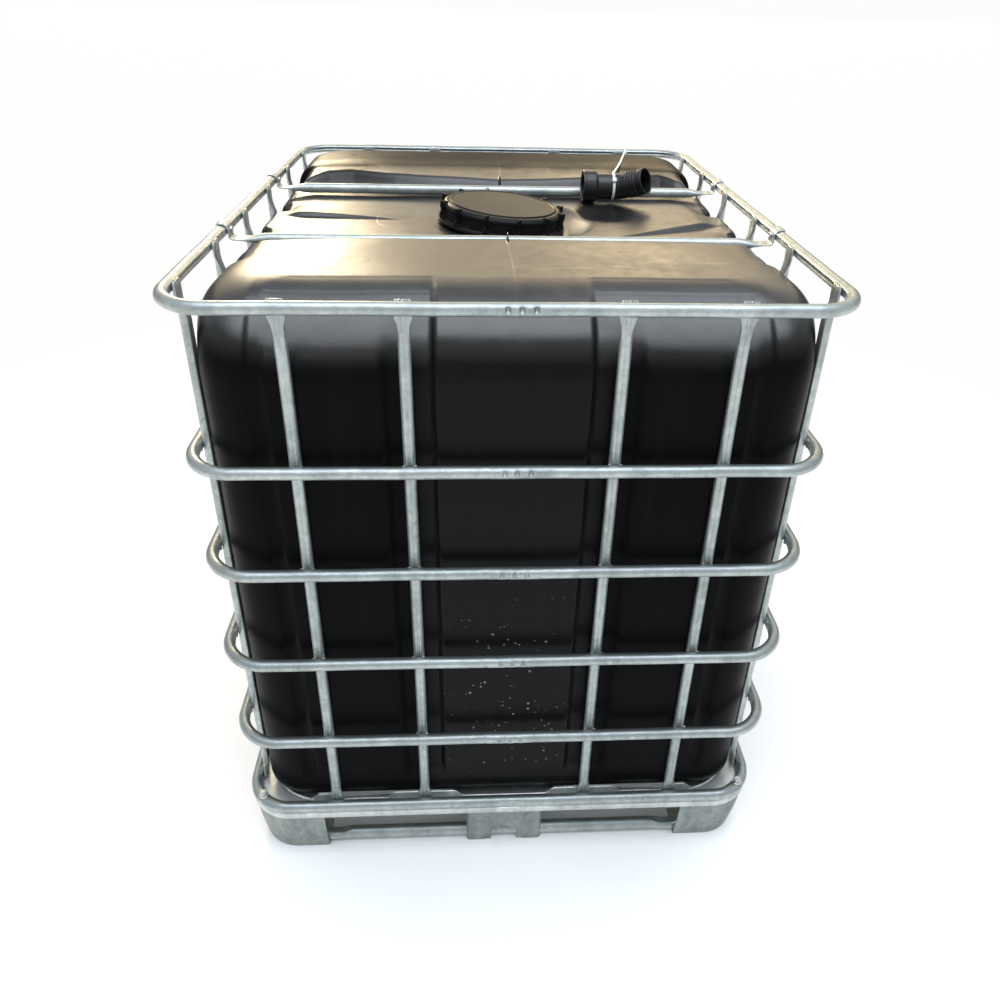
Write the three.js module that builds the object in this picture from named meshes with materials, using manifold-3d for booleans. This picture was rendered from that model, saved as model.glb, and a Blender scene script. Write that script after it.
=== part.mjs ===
// Intermediate bulk container: black blow-moulded bottle in a welded tubular steel cage on a
// sheet-steel pallet, with a screw lid on top, a butterfly outlet valve low on the back, and a
// loose hose spout tied on top.
// Millimetres, +Z up. Origin: centre of the footprint on the ground. X = short side, Y = long
// side; the front faces -Y and the outlet valve faces +Y.
import * as THREE from "three";
import { mergeVertices } from "three/addons/utils/BufferGeometryUtils.js";
import Module from "manifold-3d";

const wasm = await Module();
wasm.setup();
const { clamp, degToRad, smoothstep } = THREE.MathUtils;
const QUARTER = Math.PI / 2;

// ---------- driving dimensions ----------
// An outline is a rounded rectangle about the origin: { halfX, halfY, radius }.
const inset = ({ halfX, halfY, radius }, depth) =>
  ({ halfX: halfX - depth, halfY: halfY - depth, radius: radius - depth });

const FIT = 0.4; // clearance between fitted pieces
const OCTAGON = 0.293; // corner cut of a regular octagon, as a share of its width
const CAGE = { halfX: 500, halfY: 600, radius: 86 }; // outer outline of the rings
const RING_D = 20; // cage tube diameter
const RING_Z = [1146.5, 889, 698, 505, 315]; // ring centre heights, top to bottom
const TOP_Z = RING_Z[0];
const BASE_RING = { z: 136, height: 22 };
const UPRIGHT = {
  width: 18, depth: 14, endWidth: 28, endThick: 6, bottom: 125.6, top: 1157.2,
  shortSide: [-325, -155, 155, 325], // x places, front and back
  longSide: [-500, -300, -100, 100, 300, 500], // y places, left and right
};
const BAR = { y: 202, z: 1130, radius: 10, halfLength: 446 }; // two bars across the top
const BAR_SCREW_HOLE = 2.8; // radius
const BOTTLE = {
  halfX: 465.2, halfY: 565.2, radius: 75, bottom: 113, top: 1151, plateau: 1117, wall: 3.5,
};
const NECK = { z: 1130, tilt: degToRad(5) }; // filling neck leans to +X
const VALVE_Z = 200; // outlet axis height
const STEM_Y = 518; // vertical valve stem
const FOOT = { halfX: 477, halfY: 577, radius: 75, thick: 3, top: 122.3 };
const SKID_D = 22;
const SKID_Z = FOOT.thick + FIT + SKID_D / 2;
const SKID = inset(FOOT, FOOT.thick + FIT);
const BOLT_HOLE = 4.6; // radius

const SIDES = {
  front: { x: 0, y: -1, turn: 0 },
  back: { x: 0, y: 1, turn: Math.PI },
  left: { x: -1, y: 0, turn: -QUARTER },
  right: { x: 1, y: 0, turn: QUARTER },
};
// The bolt stands at the 45 degree point of the ring corner, just inside the tube centre line.
const BOLT_INSIDE = 2;
const boltX =
  CAGE.halfX - CAGE.radius + (CAGE.radius - RING_D / 2 - BOLT_INSIDE) * Math.SQRT1_2;
const boltY = boltX + CAGE.halfY - CAGE.halfX;
const CORNERS = [
  ["back_right", 1, 1], ["back_left", -1, 1], ["front_left", -1, -1], ["front_right", 1, -1],
].map(([name, sideX, sideY]) => (
  { name, sideX, sideY, boltX: sideX * boltX, boltY: sideY * boltY }));

// ---------- materials ----------
const finish = (settings) => new THREE.MeshStandardMaterial(settings);
const STEEL = finish({ color: 0xaab2b8, roughness: 0.42, metalness: 0.85 });
const ZINC = finish({ color: 0x7c8286, roughness: 0.6, metalness: 0.75 });
const BOTTLE_BLACK = finish({ color: 0x17181a, roughness: 0.42, metalness: 0 });
const LID_BLACK = finish({ color: 0x1b1c1c, roughness: 0.5, metalness: 0 });
const RUBBER = finish({ color: 0x0d0d0e, roughness: 0.8, metalness: 0 });
const BOLT_STEEL = finish({ color: 0x9aa0a4, roughness: 0.38, metalness: 0.9 });
const NYLON = finish({ color: 0xe9e9e4, roughness: 0.5, metalness: 0 });
const RED = finish({ color: 0xa02018, roughness: 0.45, metalness: 0 });

// ---------- placing ----------
const move = (x, y, z) => new THREE.Matrix4().makeTranslation(x, y, z);
const rotX = (angle) => new THREE.Matrix4().makeRotationX(angle);
const rotY = (angle) => new THREE.Matrix4().makeRotationY(angle);
const rotZ = (angle) => new THREE.Matrix4().makeRotationZ(angle);
const chain = (...matrices) => matrices.reduce((all, next) => all.clone().multiply(next));
// range from near to far, mirrored to the negative side when side is -1
const span = (side, near, far) => (side > 0 ? [near, far] : [-far, -near]);

// ---------- solids ----------
// Welds a geometry into a closed solid whose faces point outwards.
function solid(geometry, matrix = new THREE.Matrix4()) {
  const bare = new THREE.BufferGeometry();
  bare.setAttribute("position", geometry.attributes.position.clone());
  bare.setIndex(geometry.index);
  const welded = mergeVertices(bare.applyMatrix4(matrix), 1e-3);
  const index = welded.index.array;
  const points = welded.attributes.position.array;
  const corner = (i) => new THREE.Vector3().fromArray(points, i * 3);
  const triangles = [];
  let volume = 0;
  for (let i = 0; i < index.length; i += 3) {
    const [a, b, c] = index.subarray(i, i + 3);
    if (a === b || b === c || a === c) continue;
    triangles.push(a, b, c);
    volume += corner(a).dot(corner(b).cross(corner(c)));
  }
  if (volume < 0) triangles.reverse();
  return new wasm.Manifold(new wasm.Mesh({
    numProp: 3,
    vertProperties: new Float32Array(points),
    triVerts: new Uint32Array(triangles),
  }));
}
function toGeometry(piece) {
  const mesh = piece.getMesh();
  const geometry = new THREE.BufferGeometry();
  const points = new Float32Array(mesh.vertProperties);
  geometry.setAttribute("position", new THREE.BufferAttribute(points, 3));
  geometry.setIndex(new THREE.BufferAttribute(new Uint32Array(mesh.triVerts), 1));
  geometry.computeVertexNormals();
  return geometry;
}
const join = (pieces) => pieces.reduce((all, next) => all.add(next));
const cut = (piece, tools) => tools.reduce((rest, tool) => rest.subtract(tool), piece);

const block = (sizeX, sizeY, sizeZ, matrix) =>
  solid(new THREE.BoxGeometry(sizeX, sizeY, sizeZ), matrix);
const box = (x0, x1, y0, y1, z0, z1) =>
  block(x1 - x0, y1 - y0, z1 - z0, move((x0 + x1) / 2, (y0 + y1) / 2, (z0 + z1) / 2));
// cylinder about Z from z0 to z1, then placed
const cylinder = (radius, z0, z1, segments, matrix = new THREE.Matrix4()) =>
  solid(new THREE.CylinderGeometry(radius, radius, z1 - z0, segments),
    chain(matrix, move(0, 0, (z0 + z1) / 2), rotX(QUARTER)));
// turned piece about Z; a profile is a list of [radius, height]
const turned = (profile, segments, matrix = new THREE.Matrix4()) =>
  solid(new THREE.LatheGeometry(profile.map(([x, z]) => new THREE.Vector2(x, z)), segments),
    chain(matrix, rotX(QUARTER)));
// the same with a profile that closes on itself
const turnedRing = (profile, segments, matrix) =>
  turned([...profile, profile[0]], segments, matrix);
const washer = (inner, outer, z0, z1, segments, matrix) =>
  turnedRing([[inner, z0], [outer, z0], [outer, z1], [inner, z1]], segments, matrix);
// adds blocks evenly round the Z axis
function addGrips(piece, { count, size, radius, z, start = 0 }) {
  for (let i = 0; i < count; i++) {
    const turn = rotZ(start + (i * 2 * Math.PI) / count);
    piece = piece.add(block(...size, chain(turn, move(radius, 0, z))));
  }
  return piece;
}

const polygon = (points) => new THREE.Shape(points.map(([x, y]) => new THREE.Vector2(x, y)));
function roundedRect({ halfX, halfY, radius }, steps) {
  const points = [];
  for (const [sideX, sideY, start] of [[1, 1, 0], [-1, 1, 90], [-1, -1, 180], [1, -1, 270]])
    for (let i = 0; i <= steps; i++) {
      const angle = degToRad(start + (90 * i) / steps);
      points.push(new THREE.Vector2(
        sideX * (halfX - radius) + radius * Math.cos(angle),
        sideY * (halfY - radius) + radius * Math.sin(angle)));
    }
  return points;
}
function frameShape(outline, width, steps) {
  const shape = new THREE.Shape(roundedRect(outline, steps));
  shape.holes.push(new THREE.Path(roundedRect(inset(outline, width), steps)));
  return shape;
}
const extrude = (shape, depth, matrix) =>
  solid(new THREE.ExtrudeGeometry(shape, { depth, bevelEnabled: false }), matrix);
const plate = (shape, z0, z1) => extrude(shape, z1 - z0, move(0, 0, z0));
// [y, z] outline swept along X, centred on X = 0
const sweepX = (points, width, matrix = new THREE.Matrix4()) =>
  extrude(polygon(points), width,
    chain(matrix, move(-width / 2, 0, 0), rotZ(QUARTER), rotX(QUARTER)));
// [x, z] outline swept along Y, centred on Y = 0
const sweepY = (points, width, matrix = new THREE.Matrix4()) =>
  extrude(polygon(points), width, chain(matrix, move(0, width / 2, 0), rotX(QUARTER)));
// closed tube loop with an octagonal section
function tubeLoop(outline, width, height, z, steps = 5) {
  const bevel = OCTAGON * Math.min(width, height);
  const shape = frameShape(inset(outline, bevel), width - 2 * bevel, steps);
  const geometry = new THREE.ExtrudeGeometry(shape, {
    depth: height - 2 * bevel,
    bevelEnabled: true,
    bevelThickness: bevel,
    bevelSize: bevel,
    bevelSegments: 1,
    steps: 1,
  });
  return solid(geometry, move(0, 0, z - height / 2 + bevel));
}

// ---------- scene ----------
const root = new THREE.Group();
root.name = "bulk_container";
function addMesh(name, geometry, material, parent = root) {
  const mesh = new THREE.Mesh(geometry, material);
  mesh.name = name;
  parent.add(mesh);
  return mesh;
}
const add = (name, piece, material, parent) =>
  addMesh(name, toGeometry(piece), material, parent);
// stands a mesh, modelled facing -Y, on one side of an outline
function placeOnSide(mesh, side, { halfX, halfY }, along = 0) {
  const x = side.x * halfX + Math.abs(side.y) * along;
  const y = side.y * halfY + Math.abs(side.x) * along;
  mesh.position.set(x, y, 0);
  mesh.rotation.z = side.turn;
}

// ---------- cage rings ----------
const barEndFrame = (sideX, y) => chain(move(0, y, TOP_Z), rotY(sideX * QUARTER));
function topRing() {
  const holes = [];
  for (const sideX of [-1, 1])
    for (const y of [-BAR.y, BAR.y])
      holes.push(cylinder(BAR_SCREW_HOLE, 478, 492, 10, barEndFrame(sideX, y)));
  return cut(tubeLoop(CAGE, RING_D, RING_D, TOP_Z), holes);
}
const boltHole = (corner, z0, z1) =>
  cylinder(BOLT_HOLE, z0, z1, 12, move(corner.boltX, corner.boltY, 0));

add("ring_top", topRing(), STEEL);
for (let i = 1; i < RING_Z.length; i++)
  add("ring_" + (i + 1), tubeLoop(CAGE, RING_D, RING_D, RING_Z[i]), STEEL);
add("ring_bottom", cut(
  tubeLoop(CAGE, RING_D, BASE_RING.height, BASE_RING.z),
  CORNERS.map((corner) => boltHole(corner, 110, 160))), STEEL);

// ---------- uprights: grooved tubes, flattened where they meet the end rings ----------
// Outer face at y = 0 facing -Y, tube depth towards +Y.
function upright() {
  const { width, depth, endWidth, endThick, bottom, top } = UPRIGHT;
  const half = width / 2;
  const sideProfile = [ // y, z
    [0, bottom], [0, top], [endThick, top], [endThick, top - 34], [depth, top - 62],
    [depth, bottom + 56], [endThick, bottom + 30], [endThick, bottom],
  ];
  const free = [bottom + 40, top - 46]; // length between the flattened ends
  const chamfer = (side) => polygon([
    [side * (half + 0.5), -1], [side * (half + 0.5), 4], [side * half, 4],
    [side * 6.4, 0], [side * 6.4, -1],
  ]);
  const groove = polygon([[-2.2, -1], [2.2, -1], [2.2, 0], [0, 1.8], [-2.2, 0]]);
  const tools = [chamfer(-1), chamfer(1), groove].map((shape) => plate(shape, ...free));
  const endPlate = (z0, z1) => box(-endWidth / 2, endWidth / 2, 0, endThick, z0, z1);
  return cut(sweepX(sideProfile, width), tools)
    .add(endPlate(top - 30, top))
    .add(endPlate(bottom, bottom + 26));
}
const uprightGeometry = toGeometry(upright());
const uprights = new THREE.Group();
root.add(uprights);
for (const [name, side] of Object.entries(SIDES)) {
  const places = side.x === 0 ? UPRIGHT.shortSide : UPRIGHT.longSide;
  places.forEach((along, i) => {
    const mesh = addMesh(`upright_${name}_${i + 1}`, uprightGeometry, STEEL, uprights);
    placeOnSide(mesh, side, inset(CAGE, RING_D + FIT), along);
  });
}

// ---------- top bars, their flat ends hooked over the top ring ----------
function crossbar() {
  const hookWidth = 28;
  const under = BAR.z - 1.5;
  const over = BAR.z + 1.5;
  const hook = [ // x, z
    [430, under], [472, under], [479.7, 1136], [479.7, TOP_Z + 4.26],
    [485.74, TOP_Z + 10.3], [494.26, TOP_Z + 10.3], [497.2, TOP_Z + 7.36],
    [499.3, TOP_Z + 9.46], [495.5, TOP_Z + 13.3], [484.5, TOP_Z + 13.3],
    [476.7, TOP_Z + 5.5], [476.7, 1137.2], [470.8, over], [430, over],
  ];
  const tube = chain(move(0, 0, BAR.z), rotY(QUARTER));
  let bar = cylinder(BAR.radius, -BAR.halfLength, BAR.halfLength, 16, tube);
  for (const side of [-1, 1]) {
    // flattened four-sided block where the round bar meets the hook
    const taper = solid(new THREE.CylinderGeometry(10, 14, 20, 4, 1), chain(
      move(side * 455, 0, BAR.z), new THREE.Matrix4().makeScale(1, 1, 0.42),
      rotZ(-side * QUARTER), rotY(Math.PI / 4)));
    bar = bar
      .add(sweepY(hook.map(([x, z]) => [side * x, z]), hookWidth))
      .add(taper)
      .subtract(cylinder(BAR_SCREW_HOLE, 470, 485, 10, barEndFrame(side, 0)));
  }
  return bar;
}
const BAR_SCREW = [ // radius, distance from the middle along X
  [0, 472.8], [4.6, 472.8], [5.2, 474], [5.2, 476.4], [2.4, 476.4], [2.4, 490], [0, 490],
];
const BAR_PLACES = [["front", -BAR.y], ["rear", BAR.y]];
const crossbarGeometry = toGeometry(crossbar());
for (const [name, y] of BAR_PLACES)
  addMesh("crossbar_" + name, crossbarGeometry, STEEL).position.y = y;
for (const [name, y] of BAR_PLACES)
  for (const [end, side] of [["left", -1], ["right", 1]]) {
    const screw = turned(BAR_SCREW, 12, barEndFrame(side, y));
    add(`crossbar_screw_${name}_${end}`, screw, BOLT_STEEL);
  }

// ---------- bottle ----------
// Stacked rounded-rectangle sections, with the whole surface offset inwards.
function bottleBody(offset) {
  const outline = inset(BOTTLE, offset);
  const bottom = BOTTLE.bottom + offset;
  const top = BOTTLE.top - offset;
  const bottomRound = 46;
  const leanZ = 1018; // the front leans back from here
  const turnZ = 1085; // the other sides turn in from here, more tightly
  const sections = [];
  for (const degrees of [0, 30, 60, 90]) {
    const angle = degToRad(degrees);
    const shrink = 1 - Math.sin(angle);
    sections.push({
      halfX: outline.halfX - bottomRound * shrink,
      halfY: outline.halfY - bottomRound * shrink,
      radius: outline.radius + 25 * shrink,
      z: bottom + bottomRound * (1 - Math.cos(angle)),
      shiftY: 0,
    });
  }
  const turnIn = (z, depth, power) => {
    const rise = clamp((z - turnZ) / (top - turnZ), 0, 1);
    return depth * (1 - Math.pow(1 - Math.pow(rise, power), 1 / power));
  };
  for (const degrees of [0, 18, 36, 54, 72, 80, 90]) {
    const angle = degToRad(degrees);
    const z = leanZ + (top - leanZ) * Math.sin(angle);
    const front = 150 * (1 - Math.cos(angle));
    const rear = turnIn(z, 60, 2.4);
    sections.push({
      halfX: outline.halfX - turnIn(z, 72, 2.55),
      halfY: outline.halfY - (front + rear) / 2,
      radius: outline.radius,
      z,
      shiftY: (front - rear) / 2,
    });
  }

  // A lathe supplies the faces; its first and last rows become the closed centres.
  const steps = 5;
  const around = 4 * (steps + 1);
  const rows = sections.length + 2;
  const isEnd = (row) => row === 0 || row === rows - 1;
  const column = Array.from({ length: rows }, (_, row) =>
    new THREE.Vector2(isEnd(row) ? 0 : 1, row));
  const geometry = new THREE.LatheGeometry(column, around);
  for (let row = 0; row < rows; row++) {
    const section = sections[clamp(row - 1, 0, sections.length - 1)];
    const points = roundedRect(section, steps);
    const spread = isEnd(row) ? 0 : 1;
    for (let i = 0; i <= around; i++) {
      const point = points[i % around];
      const y = point.y * spread + section.shiftY;
      // the top climbs to the rear
      const lift = 10 * smoothstep(y, 240, 460) * smoothstep(section.z, 1085, 1140);
      geometry.attributes.position.setXYZ(
        i * rows + row, point.x * spread, y, section.z + lift);
    }
  }
  return solid(geometry);
}

const neckFrame = chain(move(0, 0, NECK.z), rotY(NECK.tilt));
const outletFrame = chain(move(0, 0, VALVE_Z), rotX(-QUARTER)); // local +Z becomes +Y

// Everything pressed into the bottle, grown by the wall so that it keeps its thickness.
function bottlePressings(grow) {
  const { halfX, halfY, plateau } = BOTTLE;
  const depth = 17;
  const beyond = 30; // how far the tools reach past the bottle
  const low = 192 - grow;
  const lowAboveOutlet = 330 - grow;
  const high = 1108 + grow;
  const trough = [ // y, z
    [-236 - grow, 1200], [-236 - grow, 1146], [-216 - grow, plateau - grow],
    [216 + grow, plateau - grow], [236 + grow, 1146], [236 + grow, 1200],
  ];
  const tools = [sweepX(trough, 2 * halfX + 40)];
  for (const side of [-1, 1]) for (const half of [-1, 1]) {
    const spanX = span(side, halfX - depth - grow, halfX + beyond);
    const spanY = span(side, halfY - depth - grow, halfY + beyond);
    const along = (near, far) => span(half, near - grow, far + grow);
    tools.push(box(...along(119, 190), ...spanY, side > 0 ? lowAboveOutlet : low, high));
    tools.push(box(...along(362, 384), ...spanY, low, high));
    for (const [near, far] of [[64, 136], [264, 336]])
      tools.push(box(...spanX, ...along(near, far), low, high - 6));
  }
  // recess around the filling neck, square to the leaning neck
  tools.push(cylinder(139 + grow, -23 - grow, 60, 32, neckFrame));
  // niche for the outlet valve
  tools.push(box(
    -118 - grow, 118 + grow, 452 - grow, halfY + beyond, 120 - grow, 306 + grow));
  return tools;
}
function bottle() {
  const { wall } = BOTTLE;
  const hollow = cut(bottleBody(wall), bottlePressings(wall));
  return cut(bottleBody(0), bottlePressings(0))
    .subtract(hollow)
    .add(cylinder(112.4, -25, 11.4, 40, neckFrame))
    .add(cylinder(30, 447, 478, 24, outletFrame))
    .subtract(cylinder(100, -60, 20, 40, neckFrame))
    .subtract(cylinder(24, 430, 490, 24, outletFrame));
}
add("bottle", bottle(), BOTTLE_BLACK);

// ---------- filling lid and gasket, in the leaning frame of the neck ----------
const neck = new THREE.Group();
neck.position.z = NECK.z;
neck.rotation.y = NECK.tilt;
root.add(neck);
const LID = [ // radius, height
  [0, 18.6], [30, 19.4], [100, 20], [103.5, 19.2], [110, 17.6], [115, 14], [118.5, 11],
  [118.5, -13.5], [127, -13.5], [127, -20], [113.6, -20], [113.6, 16], [0, 16],
];
add("fill_lid", addGrips(turned(LID, 32), {
  count: 12, size: [11.2, 6.4, 31.2], radius: 120.6, z: 0.4, start: degToRad(13),
}), LID_BLACK, neck);
add("lid_gasket", washer(101, 112.2, 11.8, 15.6, 32), RUBBER, neck);

// ---------- outlet, turned about its axis; local +Z points out along +Y ----------
// Profile columns: radius, distance along the outlet axis.
const outlet = new THREE.Group();
outlet.position.z = VALVE_Z;
outlet.rotation.x = -QUARTER;
root.add(outlet);
add("outlet_seal", washer(24.4, 29.8, 478.4, 480.4, 24), RUBBER, outlet);

const NUT = [
  [30.5, 461], [43, 461], [43, 488], [39, 491.6], [28, 491.6], [28, 488.4], [30.5, 488.4],
];
add("outlet_nut", addGrips(turnedRing(NUT, 24), {
  count: 8, size: [6, 8, 24], radius: 43.5, z: 474.5,
}), LID_BLACK, outlet);

function valveBody() {
  const profile = [
    [0, 480.8], [30, 480.8], [30, 488], [27.4, 488], [27.4, 497],
    [33, 500], [33, 536], [29.7, 540], [29.7, 564], [0, 564],
  ];
  const stemUp = chain(move(0, 0, STEM_Y), rotX(QUARTER));
  return turned(profile, 24)
    .add(cylinder(13, 26, 42, 20, stemUp))
    .subtract(cylinder(24.4, 470, 575, 24))
    .subtract(cylinder(4.5, 0, 60, 16, stemUp));
}
add("valve_body", valveBody(), BOTTLE_BLACK, outlet);

const stem = new THREE.Group(); // turns about the vertical stem axis
stem.position.set(0, STEM_Y, VALVE_Z);
root.add(stem);
const valveDisc = () =>
  cylinder(23.6, -2.4, 2.4, 24, rotX(QUARTER))
    .add(cylinder(4.1, -22, 54.6, 14))
    .subtract(cylinder(2.5, 38, 60, 10)); // screw bore
add("valve_disc", valveDisc(), ZINC, stem);

function valveHandle() {
  const lever = [ // x, y
    [-3, -11], [8, -9], [66, -8], [73, -5], [75, 0], [73, 5],
    [66, 8], [8, 9], [-3, 11], [-9, 7], [-12, 0], [-9, -7],
  ];
  return plate(polygon(lever), 47, 54)
    .add(cylinder(12, 43, 55, 20)) // hub
    .add(box(62, 75, -8, 8, 42, 50)) // block under the lever tip
    .subtract(cylinder(4.5, 30, 54.9, 14))
    .subtract(cylinder(2.7, 30, 70, 10));
}
add("valve_handle", valveHandle(), RED, stem);
const HANDLE_SCREW = [ // radius, height
  [0, 42], [2.2, 42], [2.2, 55.3], [6, 55.3], [6, 57.5], [4.8, 59], [0, 59],
];
add("handle_screw", turned(HANDLE_SCREW, 12), BOLT_STEEL, stem);

add("outlet_cap_seal", washer(24.6, 29.6, 564.3, 566.6, 24), RUBBER, outlet);
const CAP = [
  [30.2, 546], [37, 546], [37, 569], [35, 571.5], [0, 571.5], [0, 567], [30.2, 567],
];
add("outlet_cap", addGrips(turnedRing(CAP, 24), {
  count: 10, size: [4, 7, 20], radius: 37.4, z: 558,
}), RED, outlet);

// ---------- tray: sunken floor, outer rim and upright tabs ----------
function tray() {
  const floor = { halfX: 466.5, halfY: 566.5, radius: 114.5 };
  const floorZ = 110.4;
  const rim = inset(CAGE, 2);
  const rimTop = 124.6;
  const tabThick = 2.4;
  const tabLine = inset(floor, 0.2 + tabThick / 2); // middle of the tab thickness
  const pieces = [
    plate(new THREE.Shape(roundedRect(floor, 5)), floorZ, floorZ + 2),
    plate(frameShape(floor, 3, 5), floorZ, 126),
    plate(frameShape(rim, 33.5, 10), rimTop - 2, rimTop),
    plate(frameShape(rim, 1.8, 10), rimTop - 12, rimTop),
  ];
  // tab outline between two places along its side, mirrored by half
  const tab = (half, near, far) => [
    [near - 16, 118], [near - 12, 126], [near, 142], [far, 142], [far + 12, 126],
    [far + 16, 118],
  ].map(([along, z]) => [half * along, z]);
  for (const half of [-1, 1]) for (const side of [-1, 1]) {
    for (const [near, far] of [[97, 216], [332, 352]])
      pieces.push(sweepY(tab(half, near, far), tabThick, move(0, side * tabLine.halfY, 0)));
    for (const [near, far] of [[60, 140], [262, 338], [428, 446]])
      pieces.push(sweepX(tab(half, near, far), tabThick, move(side * tabLine.halfX, 0, 0)));
  }
  return cut(join(pieces), CORNERS.map((corner) => boltHole(corner, 105, 130)));
}
add("tray", tray(), ZINC);

// ---------- feet and skids ----------
function cornerFoot(corner) {
  const { thick, top } = FOOT;
  const { sideX, sideY } = corner;
  const outline = { halfX: 488, halfY: 578, radius: 76 };
  const { halfX, halfY, radius } = outline;
  const startX = 350; // inner ends of the two arms
  const startY = 445;
  const quadrant = box(
    ...span(sideX, startX, halfX + 40), ...span(sideY, startY, halfY + 40), -10, 140);
  // the wall opens outwards towards the tray
  const ramp = (value, from, to) => clamp((Math.abs(value) - from) / (to - from), 0, 1);
  const wall = plate(frameShape(outline, thick, 6), 0, top)
    .add(plate(frameShape(outline, 62, 6), 0, 3))
    .intersect(quadrant)
    .warp((point) => {
      const height = point[2] / top;
      point[0] += sideX * 5.8 * height * ramp(point[0], startX, halfX - radius);
      point[1] += sideY * 15.8 * height * ramp(point[1], startY, halfY - radius);
    });
  // out-turned lip that carries the tray bolt
  const lipOutline = { halfX: 494, halfY: 594, radius: 80 };
  const lip = plate(frameShape(lipOutline, 22, 6), top - thick, top)
    .intersect(box(...span(sideX, 424, 530), ...span(sideY, 524, 630), 100, 140));
  const nutRoom =
    cylinder(7.4, 111.6, top - thick, 16, move(corner.boltX, corner.boltY, 0));
  return wall.subtract(nutRoom).add(lip).subtract(boltHole(corner, 110, 130));
}
for (const corner of CORNERS) add("corner_foot_" + corner.name, cornerFoot(corner), ZINC);

// Folded centre foot: front plate with an arch, two returns notched for the skid tube, two
// ground plates and a top plate. Front face at y = 0, body towards +Y.
function centreFoot() {
  const { thick } = FOOT;
  const half = 75;
  const depth = 62;
  const height = 110;
  const archHalf = 26.5;
  const archZ = 14; // centre of the arch
  let foot = box(-half, half, 0, thick, 0, height);
  for (const side of [-1, 1])
    foot = foot.add(box(...span(side, half - thick, half), 0, depth, 0, height));
  foot = foot
    .add(box(-half, half, 0, depth, height - thick, height))
    .add(box(-half, half, 0, depth, 0, thick))
    .subtract(box(-archHalf, archHalf, -5, 70, -5, archZ))
    .subtract(cylinder(archHalf, -5, 8, 20, chain(move(0, 0, archZ), rotX(-QUARTER))));
  return cut(foot, [-1, 1].map((side) =>
    box(...span(side, half - 5, half + 5), 3.1, 27.2, 3.05, 26.4)));
}
const centreFootGeometry = toGeometry(centreFoot());
for (const [name, side] of Object.entries(SIDES))
  placeOnSide(addMesh("centre_foot_" + name, centreFootGeometry, ZINC), side, FOOT);

add("skid_tube", tubeLoop(SKID, SKID_D, SKID_D, SKID_Z, 6), STEEL);
function centreRunner() {
  const half = SKID_D / 2;
  const flat = half - OCTAGON * SKID_D; // half the width of each flat
  const section = [ // x, z
    [-half, -flat], [-half, flat], [-flat, half], [flat, half],
    [half, flat], [half, -flat], [flat, -half], [-flat, -half],
  ];
  return sweepY(section, 2 * (SKID.halfY - SKID_D - FIT), move(0, 0, SKID_Z));
}
add("centre_runner", centreRunner(), STEEL);

// ---------- tray bolts, each with its nut ----------
const headZ = BASE_RING.z + BASE_RING.height / 2 + FIT;
const cornerBolt = () =>
  cylinder(4.1, 111, 150, 12)
    .add(cylinder(7.4, headZ, 153, 6))
    .add(cylinder(6.9, 112, 118.9, 6));
for (const corner of CORNERS) {
  const bolt = cornerBolt().translate([corner.boltX, corner.boltY, 0]);
  add("corner_bolt_" + corner.name, bolt, BOLT_STEEL);
}

// ---------- loose hose spout and its cable tie ----------
const SPOUT = {
  startX: 178, y: 156, z: 1152, bendX: 260, length: 63, outer: 27, bore: 23.6,
  direction: new THREE.Vector3(0.767, -0.556, 0.32).normalize(), // beyond the bend
};
function elbowSpout() {
  const { startX, y, z, bendX, length, outer, bore, direction } = SPOUT;
  const aim = new THREE.Quaternion()
    .setFromUnitVectors(new THREE.Vector3(0, 0, 1), direction);
  const inlet = chain(move(0, y, z), rotY(QUARTER));
  const nozzle = chain(
    move(bendX, y, z), new THREE.Matrix4().makeRotationFromQuaternion(aim));
  const ball = (radius) => solid(
    new THREE.SphereGeometry(radius, 16, 8), chain(move(bendX, y, z), rotY(QUARTER)));
  const outside = [
    cylinder(33.5, startX, startX + 29, 24, inlet),
    cylinder(outer, startX + 20, bendX, 16, inlet),
    ball(outer),
    cylinder(outer, 0, length, 16, nozzle),
  ];
  for (let i = 0; i < 4; i++)
    outside.push(cylinder(28.8, 25 + i * 10, 30 + i * 10, 16, nozzle));
  const inside = [
    cylinder(30.2, startX - 5, startX + 22, 24, inlet),
    cylinder(bore, startX + 10, bendX, 16, inlet),
    ball(bore),
    cylinder(bore, 0, length + 5, 16, nozzle),
  ];
  return join(outside).subtract(join(inside));
}
add("elbow_spout", elbowSpout(), LID_BLACK);

// One band round the spout, one round the top ring, and a straight strap between them.
function cableTie() {
  const { y, z } = SPOUT;
  const spoutX = 243;
  const ringX = 345;
  const width = 4.8;
  const band = (inner, outer, bandX, bandY, bandZ, segments) =>
    washer(inner, outer, -width / 2, width / 2, segments,
      chain(move(bandX, bandY, bandZ), rotY(QUARTER)));
  const from = new THREE.Vector3(spoutX, y + 4, z + 28.4);
  const to = new THREE.Vector3(ringX, 588, TOP_Z + 11.9);
  const along = to.clone().sub(from).normalize();
  const across = new THREE.Vector3(0, 0, 1).cross(along).normalize();
  const normal = along.clone().cross(across);
  const strapFrame = new THREE.Matrix4()
    .makeBasis(along, across, normal)
    .setPosition(from.clone().lerp(to, 0.5));
  return join([
    band(27.5, 29, spoutX, y, z, 24),
    band(11.3, 12.4, ringX, CAGE.halfY - RING_D / 2, TOP_Z, 20),
    block(from.distanceTo(to), width, 1.2, strapFrame),
    // locking head on the spout band
    block(8, 7, 5.5, chain(move(spoutX, y, z), rotX(degToRad(52)), move(0, 0, 30.6))),
  ]);
}
add("cable_tie", cableTie(), NYLON);

export default root;
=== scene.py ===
import bpy, math
import numpy as np
from mathutils import Vector, Matrix


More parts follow.
